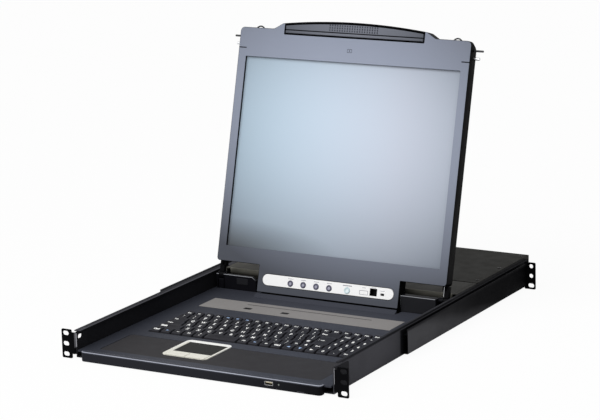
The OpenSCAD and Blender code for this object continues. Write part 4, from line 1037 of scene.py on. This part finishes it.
# Painted highlight: the frame's part behind the pad, with its upper rim, is painted paler.
pad_frame = paled(
    slab([frame_outline] + pad_openings, pad_frame_low.z - frame_rim, pad_frame_high.z, frame_rim),
    lambda x, y, z: y > pad_high.y,
)
piece("pad_frame", pad_frame, "drawer", "ivory", ivory, "touchpad_frame")
pad_plate = slab([footprint(pad_low, pad_high, 0.0006)], pad_low.z, pad_high.z, 0.0003)
piece("pad_plate", pad_plate, "drawer", "pad_grey", pad_grey, "touchpad")
for side in ("left", "right"):
    low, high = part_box(side + "_touch_button")
    cap = slab([footprint(low, high, 0.0006)], low.z, high.z, 0.0006)
    piece(side + "_button_cap", cap, side + "_touch_button", "ivory", ivory, side + "_touch_button")


# Hinge blocks and rear cover
# Two black mouldings on the deck carry the hinge pins in round lugs. The right one steps forward at its
# inner end, and the left one has a small raised plate. A cover of warm black sheet, folded down at the
# front and the back, closes the drawer behind them.
def joint(name):
    """The frame's own entry for a joint."""
    return next(entry for entry in frame["joints"] if entry["name"] == name)


block_low, block_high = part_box("hinge_blocks")
cover_low, cover_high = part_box("rear_cover")
hinge = joint("display_fold")["pos_m"]
block_black = finish("block_black", "101014", 0.45, 0.0008, 0.00002, gloss=0.04, pale="8d8f94")
block_ins = {"left": 0.1345, "right": 0.1858}
block_bevels = {"left": (0.007, 0.0055), "right": (0.001, 0.001)}
block_top = 0.0384
block_rim = 0.001
arm_x = 0.199
arm_half = 0.004
arm_slot = arm_half + 0.0003
lug_half = arm_slot + 0.0022
wide_lug = 0.0118
lug_ends = {"left": arm_x - lug_half, "right": arm_x - wide_lug}
knuckle_r = 0.0055
bore_r = 0.00305
slot_low = hinge[2] - knuckle_r - 0.0003
rear_front = hinge[1] - 0.001


def block_body(side):
    """One block: its slotted front, whose upper front edge carries a painted highlight on the left, and the
    lower part behind it.
    """
    inner, (bevel_x, bevel_z) = block_ins[side], block_bevels[side]
    outline = rounded(
        [(inner, deck_high.z), (block_high.x, deck_high.z), (block_high.x, block_top),
         (arm_x + arm_slot, block_top), (arm_x + arm_slot, slot_low), (arm_x - arm_slot, slot_low),
         (arm_x - arm_slot, block_top), (inner + bevel_x, block_top), (inner, block_top - bevel_z)],
        (0, 0, 0.0012, 0.0006, 0.0006, 0.0006, 0.0006, 0.0005, 0.0005),
    )
    face = paled(
        facing_front(slab([outline], -hinge[1], -block_low.y, block_rim)),
        lambda x, y, z: (z > block_top - 0.9 * block_rim) & (y < block_low.y + 0.9 * block_rim),
        float(side == "left"),
    )
    rear = slab([box_outline(inner, rear_front, block_high.x, deck_high.y, 0.001)],
                deck_high.z, slot_low, 0.0006)
    return joined(face, rear)


lug_outline = np.concatenate([
    [(hinge[1] - knuckle_r, deck_high.z), (hinge[1] + knuckle_r, deck_high.z)],
    round_outline(hinge[1], hinge[2], knuckle_r, 48)[:25],
])
lug_bore = round_outline(hinge[1], hinge[2], bore_r, 32)[::-1]


def lugs(side):
    """The two lugs beside one arm, each with a bore for the pin."""
    spans = ((lug_ends[side], arm_x - arm_slot), (arm_x + arm_slot, arm_x + lug_half))
    return facing_right(joined(*[slab([lug_outline, lug_bore], *span, 0.0004, 0.0004) for span in spans]))


step_in, step_out, step_top = 0.1258, 0.1868, 0.0403
step_face = block_low.y - 0.0065
step_outline = rounded(
    [(step_in, deck_high.z), (step_out, deck_high.z), (step_out, step_top),
     (step_out - 0.0014, step_top - 5e-6), (step_out - 0.002, step_top - 1e-5), (step_in, step_top)],
    (0, 0, 0.0006, 0, 0, 0.0006),
)
block_step = facing_front(slab([step_outline], -hinge[1], -step_face, block_rim))
# Painted light: the step's front face a touch paler, and a painted highlight along its upper front edge.
block_step = paled(block_step, lambda x, y, z: y < step_face + hair / 2, 0.05)
block_step = paled(block_step, lambda x, y, z: (
    (z > step_top - 0.9 * block_rim) & (y < step_face + 0.9 * block_rim) & (x < step_out - 0.0016)))
step_rear = slab([box_outline(step_in + 0.0012, rear_front, step_out, deck_high.y, 0.001)],
                 deck_high.z, slot_low, 0.0006)
blocks = joined(block_body("right"), lugs("right"), block_step, step_rear,
                mirrored(joined(block_body("left"), lugs("left"))))
plate_corners = (-0.170, 0.0245, -0.1495, 0.0344)
plate_raise = 0.0005
# Painted light: the raised plate a touch paler.
block_plate = painted_light_or_tone(facing_front(slab([box_outline(*plate_corners, 0.001)], -block_low.y - plate_raise,
                                     -block_low.y + plate_raise, 0.0004)), 0.04)
piece("hinge_mouldings", joined(blocks, block_plate), "drawer", "block_black", block_black, "hinge_blocks")
cover_olive = finish("cover_olive", "2b2a26", 0.5, 0.0012, 0.00007, gloss=0.045, pale="a5a398")
cover_sheet = 0.0012
cover_end_half = 0.1976
cover_bend = 0.0015
cover_shade = 0.0085
left_pale, right_pale = 0.175, 0.01
cover_front, cover_rear, cover_top = cover_low.y, cover_high.y, cover_high.z
cover_section = rounded(
    [(cover_front, cover_low.z), (cover_front + cover_sheet, cover_low.z),
     (cover_front + cover_sheet, cover_top - cover_sheet),
     (cover_rear - cover_sheet, cover_top - cover_sheet), (cover_rear - cover_sheet, cover_low.z),
     (cover_rear, cover_low.z), (cover_rear, cover_top),
     (cover_front + 2.2 * cover_bend, cover_top - 5e-6), (cover_front, cover_top),
     (cover_front + 5e-6, cover_top - cover_shade)],
    (0, 0, 0.0005, 0.0005, 0, 0, cover_bend, 0, cover_bend, 0),
)


def cover_painted_light(x, y, z):
    """How pale the folded cover is painted as light and shade: its top a little and more towards the left,
    and the upper edge of its front much more, a painted highlight fading out as far down as the painted shade
    goes."""
    top = np.interp(x, (-cover_end_half, cover_end_half), (left_pale, right_pale))
    edge = np.interp(z, (cover_top - cover_shade, cover_top - cover_bend), (0.0, 1.0))
    return np.where(y > cover_front + 2 * cover_bend, top, edge * (0.6 + 0.9 * top))


cover_fold = facing_right(slab([cover_section], -cover_end_half, cover_end_half))
cover_edge = slab([box_outline(cover_end_half, cover_front, cover_high.x, cover_rear, 0.0006)],
                  cover_top - cover_sheet, cover_top, 0.0005)
cover_side = facing_right(slab(
    [box_outline(cover_front, deck_low.z, cover_rear, cover_top - 0.0004, (0, 0, 0.001, 0.001))],
    cover_high.x - cover_sheet, cover_high.x, 0.0003,
))
# Painted light: the cover's left end is painted a little paler, like its top at the left.
cover_sides = paled(both_sides(joined(cover_edge, cover_side)), lambda x, y, z: x < 0, left_pale)
rear_cover = joined(painted_light_or_tone(cover_fold, cover_painted_light), cover_sides)
piece("rear_cover_sheet", rear_cover, "drawer", "cover_black", cover_olive, "rear_cover")


# Display case
# A thin gunmetal face plate on a black moulded frame, and a black back cover with a row of vents, held
# by eight screws. The foot reaches down between the hinges, and the top rises in an arch for the handle.
press = joint("power_button_press")["axis"]
lean = math.atan2(-press[2], press[1])
axis_depth = 0.016
axis_drop = 0.0476


def on_display(shape):
    """Leans a shape back with the display. Its points are x across, depth behind the face and height
    above the screen's lower edge, turned by the lean about the hinge's axis."""
    x, depth, height = shape[0].T
    y, z = depth - axis_depth, height + axis_drop
    back = hinge[1] + y * math.cos(lean) + z * math.sin(lean)
    up = hinge[2] - y * math.sin(lean) + z * math.cos(lean)
    return (np.stack([x, back, up], 1),) + shape[1:]


def display_piece(name, shape, *details):
    """A piece that is drawn upright and rides on the display."""
    return piece(name, on_display(shape), "display", *details)


case_half = 0.2033
case_foot = -0.0250
case_head = 0.3488
skirt_half = 0.125
skirt_foot = -0.0676
screen_half, screen_head = 0.1893, 0.3028
handle_half = 0.127
handle_ramp = 0.0155
handle_base = case_head + 0.0093
arch = 0.0076
arch_radius = (handle_half ** 2 + arch ** 2) / (2 * arch)


def arch_height(x, below=0.0):
    """Height of the handle's arch at x: on the circle through its ends and its highest point, or
    on the circle that lies below it."""
    return handle_base + arch - arch_radius + np.sqrt((arch_radius - below) ** 2 - x ** 2)


def case_outline(inset=0.0, corner=0.007):
    """The display's front outline: the case, the foot below it and the handle's shoulders, closed at
    the top by the arch."""
    top = np.linspace(handle_half, -handle_half, 25)
    ramp = handle_half + handle_ramp
    corners = np.concatenate([
        [(-skirt_half, skirt_foot), (skirt_half, skirt_foot), (skirt_half, case_foot), (case_half, case_foot),
         (case_half, case_head), (ramp, case_head)],
        np.stack([top, arch_height(top)], 1),
        [(-ramp, case_head), (-case_half, case_head), (-case_half, case_foot), (-skirt_half, case_foot)],
    ])
    radii = np.concatenate([(0.0015, 0.0015, 0.001, 0.005, corner, 0.010, 0.007), np.zeros(23),
                            (0.007, 0.010, corner, 0.005, 0.001)])
    loop = rounded(corners, radii, 6)
    return drawn_in(loop, inset) if inset else loop


groove = 0.0022
insert_half = handle_half - 0.006
insert_foot = case_head - 0.0055
seam = (0.190, 0.316, 0.0004)
plate_inset = 0.0006


def plate_outline():
    """The face plate's outline: the case's, with a narrow seam cut into each side and the handle
    insert's bay cut out of the arch."""
    ramp = handle_half + handle_ramp
    bay = insert_half + groove
    seam_x, seam_z, seam_h = seam
    right = [
        (skirt_half, skirt_foot), (skirt_half, case_foot), (case_half, case_foot), (case_half, seam_z),
        (seam_x, seam_z), (seam_x, seam_z + seam_h), (case_half, seam_z + seam_h), (case_half, case_head),
        (ramp, case_head), (handle_half, handle_base), (bay, arch_height(bay)), (bay, insert_foot - groove),
    ]
    radii = [0.0015, 0.001, 0.005, 0, 0, 0, 0, 0.007, 0.010, 0.003, 0, 0.001]
    left = [(-x, z) for x, z in right[::-1]]
    return drawn_in(rounded(right + left, radii + radii[::-1], 6), plate_inset)


panel_middle = -0.047
panel_half = (0.116, 0.00875)
panel_groove = 0.0009


def panel_outline(gap):
    """The control strip: a long rectangle with half-round ends."""
    w, h = panel_half[0] + gap, panel_half[1] + gap
    return box_about((0, panel_middle), (w, h), h * 0.999, 12)


plate_t = 0.0006
split = 0.009
display_back = 0.0212
back_t = 0.0022
# Painted light: the face plate is lightest near its top and darker towards its foot and its sides.
bezel_painted_light = (0.006, 0.284, 10, 0.379, 0.253, "4b4e56")
bezel_grey = finish("bezel_grey", "9299aa", 0.45, 0.0008, 0.00002, drift=0.03, gloss=0.1, fade=bezel_painted_light)
shell_black = finish("shell_black", "09090a", 0.5, 0.001, 0.00004, gloss=0.02, pale="313338")
screen_opening = box_outline(-screen_half, 0, screen_half, screen_head, 0.0006)[::-1]
strip_opening = panel_outline(panel_groove)[::-1]
eye = (-0.004, 0.3213)
eye_half = (0.0042, 0.0028)
eye_outline = box_about(eye, eye_half, 0.001)
bezel_plate = facing_front(slab([plate_outline(), screen_opening, strip_opening, eye_outline[::-1]],
                                -plate_t, 0.0, 0.0002))
display_piece("bezel_plate", bezel_plate, "bezel_grey", bezel_grey, "lcd_bezel")
bay_half = insert_half + groove
bay_top = np.linspace(bay_half, -bay_half, 25)
insert_bay = np.concatenate([
    [(-bay_half, insert_foot - groove), (bay_half, insert_foot - groove)],
    np.stack([bay_top, arch_height(bay_top, 0.0022)], 1),
])[::-1]
bezel_frame = facing_front(slab([case_outline(), screen_opening, strip_opening, insert_bay],
                                -split, -0.0003, 0.0003))
display_piece("bezel_frame", bezel_frame, "shell_black", shell_black)
eye_gap, eye_bore = 0.0005, 0.0009
eye_cover = facing_front(slab([drawn_in(eye_outline, eye_gap), round_outline(*eye, eye_bore)[::-1]],
                              -0.001, 0.0, 0.0002))
display_piece("bezel_eye", eye_cover, "bezel_grey", bezel_grey)
vent_half = (0.008, 0.0015)
vent_pitch, vent_z = 0.022, 0.2415
vents = [box_about((x, vent_z), vent_half, vent_half[1] * 0.99)[::-1] for x in vent_pitch * np.arange(-6, 7)]
back_corner = 0.015
back_round = 0.0012
swage_corners = (-0.185, -0.008, 0.185, 0.333)
swage = box_outline(*swage_corners, 0.014, 8)
swage_gap = 0.0006
back_screw_x = 0.1935
back_screw_places = [(x, z) for x in (-back_screw_x, back_screw_x) for z in (-0.014, 0.098, 0.210, 0.322)]
back_screw_holes = [round_outline(x, z, 0.0026)[::-1] for x, z in back_screw_places]
rim_face = back_t - display_back
shell_sides = [(rim_face, back_corner, hair), (-0.011, 0.0075, 0.0), (-split, 0.007, 0.0)]
back_sides = stacked([[at_level(case_outline(inset, corner), level) for level, corner, inset in shell_sides]])
back_rim = slab([case_outline(hair, back_corner), swage[::-1]] + back_screw_holes,
                -display_back, rim_face, 0.0, back_round)
back_panel = slab([drawn_in(swage, swage_gap)] + vents, -display_back, rim_face, 0.0, back_round)
# Painted light: the back's outer face is painted paler than the rest of the shell, as if lit.
back_faces = paled(joined(back_rim, back_panel), lambda x, y, z: z < -display_back + 0.5 * back_round)
back_shell = facing_front(joined(back_sides, back_faces))
display_piece("back_shell", back_shell, "shell_black", shell_black, "lcd_back_cover")
back_screws = [
    slab([round_outline(x, z, 0.0024), cross_mark + (x, z)], 0.0005 - display_back, rim_face, 0.0, 0.0004)
    for x, z in back_screw_places
]
display_piece("back_screws", facing_front(joined(*back_screws)), "screw_black", screw_black)


# Screen
# The panel's anti-glare film, pale with a blue cast that is greener at the left. Light and shade are painted
# into it: brightest above its middle, greyer towards its foot and its sides, and darker in its lower left
# corner.
screen_painted_light = (-0.003, 0.259, 8, 0.295, 0.230, "747b85")
screen_film = finish("screen", "c3cad8", 0.45, 0.0006, 0.000005, drift=0.01, gloss=0.05,
                     fade=screen_painted_light, cast=("b7cddd", -0.19, 0.10),
                     corner=(-0.19, 0.085, 0.20, 0.044, "3a3a36", 0.65))
glass_edge = 0.003
glass_front = 0.0046
film = facing_front(slab([box_outline(-screen_half - glass_edge, -glass_edge, screen_half + glass_edge,
                                      screen_head + glass_edge)], -glass_front - 0.0015, -glass_front))
display_piece("screen_film", film, "screen", screen_film, "lcd_glass")
dressed(supply_case, "lcd_backlight")


# Control strip
# A white moulding let into the display's foot, with four menu buttons, the power button, a service
# socket and a small slide switch. Short printed bars mark them.
white_panel = finish("white_panel", "fafafa", 0.4, 0.0008, 0.00001, drift=0.015, gloss=0.2)
button_violet = finish("button_violet", "565669", 0.35, 0.0005, 0.00001, gloss=0.3, pale="a9a9b8")
button_aqua = finish("button_aqua", "d4e6ea", 0.3, 0.0005, 0.00001, drift=0.03, gloss=0.3, pale="eef6f8")
jack_black = finish("jack_black", "0a0a0b", 0.45, 0.0006, 0.00002, gloss=0.05)
print_grey = finish("print_grey", "9a9aa2", 0.5, 0.0006, 0.00001)
panel_out = 0.0004
button_z = panel_middle - 0.002
button_r, power_r = 0.0047, 0.005
button_xs = -0.0656 + 0.023 * np.arange(4)
power_x = 0.0353
jack = (0.0812, panel_middle)
jack_half = (0.0062, 0.0057)
switch = (0.097, button_z)
switch_half = (0.0032, 0.0017)
holes = [round_outline(x, button_z, r + 0.0003, 32)[::-1]
         for x, r in [*((x, button_r) for x in button_xs), (power_x, power_r)]]
holes += [box_about(*spot, 0.0005)[::-1] for spot in ((jack, jack_half), (switch, switch_half))]
panel = facing_front(slab([panel_outline(0.0)] + holes, -0.0035, panel_out, 0.0004))
display_piece("control_panel", panel, "white_panel", white_panel, "control_strip")


def button_cap(x, radius):
    """A push button: a domed ring round a sunken pale middle."""
    outer, inner = (round_outline(x, button_z, share * radius, 32) for share in (1, 0.5))
    ring = slab([outer, inner[::-1]], -0.0052, 0.0014, 0.0008)
    middle = slab([inner], -0.0052, 0.0008, 0.0002)
    return on_display(facing_front(joined(ring, painted_light_or_tone(middle, 1.0))))


for k, x in enumerate(button_xs):
    menu = "menu_button_%d" % (k + 1)
    piece("menu_cap_%d" % (k + 1), button_cap(x, button_r), menu, "button_violet", button_violet, menu)
piece("power_cap", button_cap(power_x, power_r), "power_button", "button_aqua", button_aqua, "power_button")
bars = [(x - 0.0045, 0.0050, x + 0.0045, 0.0058) for x in button_xs]
bars += [(power_x - 0.008, 0.0048, power_x + 0.008, 0.0062), (0.0615, 0.0050, 0.0675, 0.0057),
         (0.0775, 0.0066, 0.0850, 0.0073), (0.0935, 0.0030, 0.1005, 0.0037)]
mark_loops = [[box_outline(x0, panel_middle + z0, x1, panel_middle + z1)] for x0, z0, x1, z1 in bars]
key_box = box_outline(0.057, -0.0525, 0.072, -0.0458)
key_line = 0.0007
mark_loops.append([key_box, drawn_in(key_box, key_line)[::-1]])
mark_t = 0.00004
panel_marks = joined(*[slab(loops, panel_out - hair, panel_out + mark_t) for loops in mark_loops])
display_piece("panel_marks", facing_front(panel_marks), "strip_grey", print_grey)
dressed(jack_black, "service_port", "service_switch")


# Handle insert
# A gunmetal grip plate in a dark bay at the top of the display. A line divides its lower lip, and
# rows of small dark ribs give the fingers hold.
# Painted light: the grip plate is lightest at the middle of its top and darker towards its ends and its foot.
insert_painted_light = (0.0, 0.44, 0, 0.14, 0.2, "43464d")
insert_grey = finish("insert_grey", "676a73", 0.45, 0.0008, 0.00002, gloss=0.1, fade=insert_painted_light)
rib_dark = finish("rib_dark", "33353c", 0.5, 0.0006, 0.00002)
lip_line = insert_foot + 0.0042
line_gap = 0.0015
insert_top = np.linspace(insert_half, -insert_half, 25)
grip = np.concatenate([
    [(-insert_half, lip_line + line_gap), (insert_half, lip_line + line_gap)],
    np.stack([insert_top, arch_height(insert_top, 0.0040)], 1),
])
grip_plate = slab([grip], -split, 0.0004, 0.0006)
grip_lip = slab([box_outline(-insert_half, insert_foot, insert_half, lip_line, 0.0004)],
                -split, 0.0006, 0.0006)
handle_grip = facing_front(joined(grip_plate, grip_lip))
display_piece("handle_grip", handle_grip, "insert_grey", insert_grey, "handle_insert")
rib_pitch = 0.0044
rib_w, rib_h = 0.0016, 0.0026
first_rib = -0.043
ribs = [
    slab([box_outline(x, z, x + rib_w, z + rib_h, 0.0004)], 0.0003, 0.0010, 0.0003)
    for x in first_rib + rib_pitch * np.arange(20) for z in lip_line + np.array([0.0030, 0.0068, 0.0106])
]
display_piece("grip_ribs", facing_front(joined(*ribs)), "insert_grey", rib_dark)


# Hinge arms and pins
# Coated steel bars run from the case down to knuckles on the plated hinge pins, cranked inwards where
# they enter the case. A thin plated rod down the right one's front edge stands in for the highlight along
# that edge.
arm_black = finish("arm_black", "0b0b0d", 0.45, 0.0008, 0.00003, gloss=0.03)
arm_front, arm_back = 0.0115, display_back - back_t
arm_crank = 0.0032
arm_end = -axis_drop + 0.0042
knuckle_bore = round_outline(axis_depth, -axis_drop, bore_r, 32)[::-1]
knuckle = slab([round_outline(axis_depth, -axis_drop, knuckle_r, 48), knuckle_bore],
               arm_x - arm_half, arm_x + arm_half, 0.0004, 0.0004)
lower_bar = slab([box_outline(arm_front, arm_end, arm_back, case_foot - 0.0003, 0.0006)],
                 arm_x - arm_half, arm_x + arm_half, 0.0006, 0.0006)
upper_bar = slab([box_outline(arm_front, case_foot - 0.008, arm_back, -0.007, 0.0006)],
                 arm_x - arm_crank - arm_half, arm_x - arm_crank + arm_half, 0.0006, 0.0006)
arm = facing_right(joined(knuckle, lower_bar, upper_bar))
display_piece("hinge_bars", both_sides(arm), "arm_black", arm_black, "hinge_arms")
dressed(plated_steel, "hinge_pins")
arm_highlight_r = 0.0005
arm_wire = slab([round_outline(arm_x - arm_half, arm_front, arm_highlight_r, 10)],
                arm_end + 0.002, case_foot - 0.001)
display_piece("arm_wire", arm_wire, "latch_steel", plated_steel)


# Latches
# On each side a dark pin locks the closed display to the wall and a plated stub guides it; a wire loop
# on the upper edge draws them in.
latch_steel = finish("latch_steel", "d2d3d6", 0.3, 0.0005, 0.00001, gloss=0.5, metal=1.0)
wire_dark = finish("wire_dark", "2c2d30", 0.4, 0.0005, 0.00001, gloss=0.3)
latch_depth = 0.0125
latch_in = 0.2003
pin_z, pin_r, pin_end = 0.335, 0.0016, 0.219
stub_z, stub_r, stub_end = 0.323, 0.0022, 0.2142
latch_pin = facing_right(slab([round_outline(latch_depth, pin_z, pin_r, 20)],
                              latch_in, pin_end, 0.0008, 0.0003))
latch_stub = facing_right(slab([round_outline(latch_depth, stub_z, stub_r, 24)],
                               latch_in, stub_end, 0.0008, 0.0003))
loop_x, loop_z, loop_r, wire_r = 0.174, 0.3443, 0.008, 0.0012


def wire_arch():
    """Half a ring of wire: circles of the wire's radius carried round half a turn about the loop's
    middle, joined ring to ring and closed at both ends."""
    turn = np.linspace(0, np.pi, 25)[:, None]
    round_wire = np.linspace(0, 2 * np.pi, 10, endpoint=False)
    reach = loop_r + wire_r * np.cos(round_wire)
    rings = np.stack([reach * np.cos(turn) + loop_x, latch_depth + wire_r * np.sin(round_wire) + 0 * turn,
                      reach * np.sin(turn) + loop_z], 2)
    ids = np.arange(rings[..., 0].size).reshape(rings.shape[:2])
    step = np.roll(ids, -1, 1)
    quads = np.stack([ids[:-1], ids[1:], step[1:], step[:-1]], 2).reshape(-1, 4)
    fan = np.arange(1, 9)
    ends = [np.stack([0 * fan, fan, fan + 1], 1), ids[-1, 0] + np.stack([0 * fan, fan + 1, fan], 1)]
    points = rings.reshape(-1, 3)
    return points, quads, np.concatenate(ends), np.zeros(len(points))


for side, placed in (("right", lambda shape: shape), ("left", mirrored)):
    body = side + "_latch"
    pin_and_loop, stub = (on_display(placed(shape)) for shape in (joined(latch_pin, wire_arch()), latch_stub))
    piece(body + "_pin", pin_and_loop, body, "latch_steel", wire_dark, body)
    piece(body + "_stub", stub, body, "latch_steel", latch_steel)
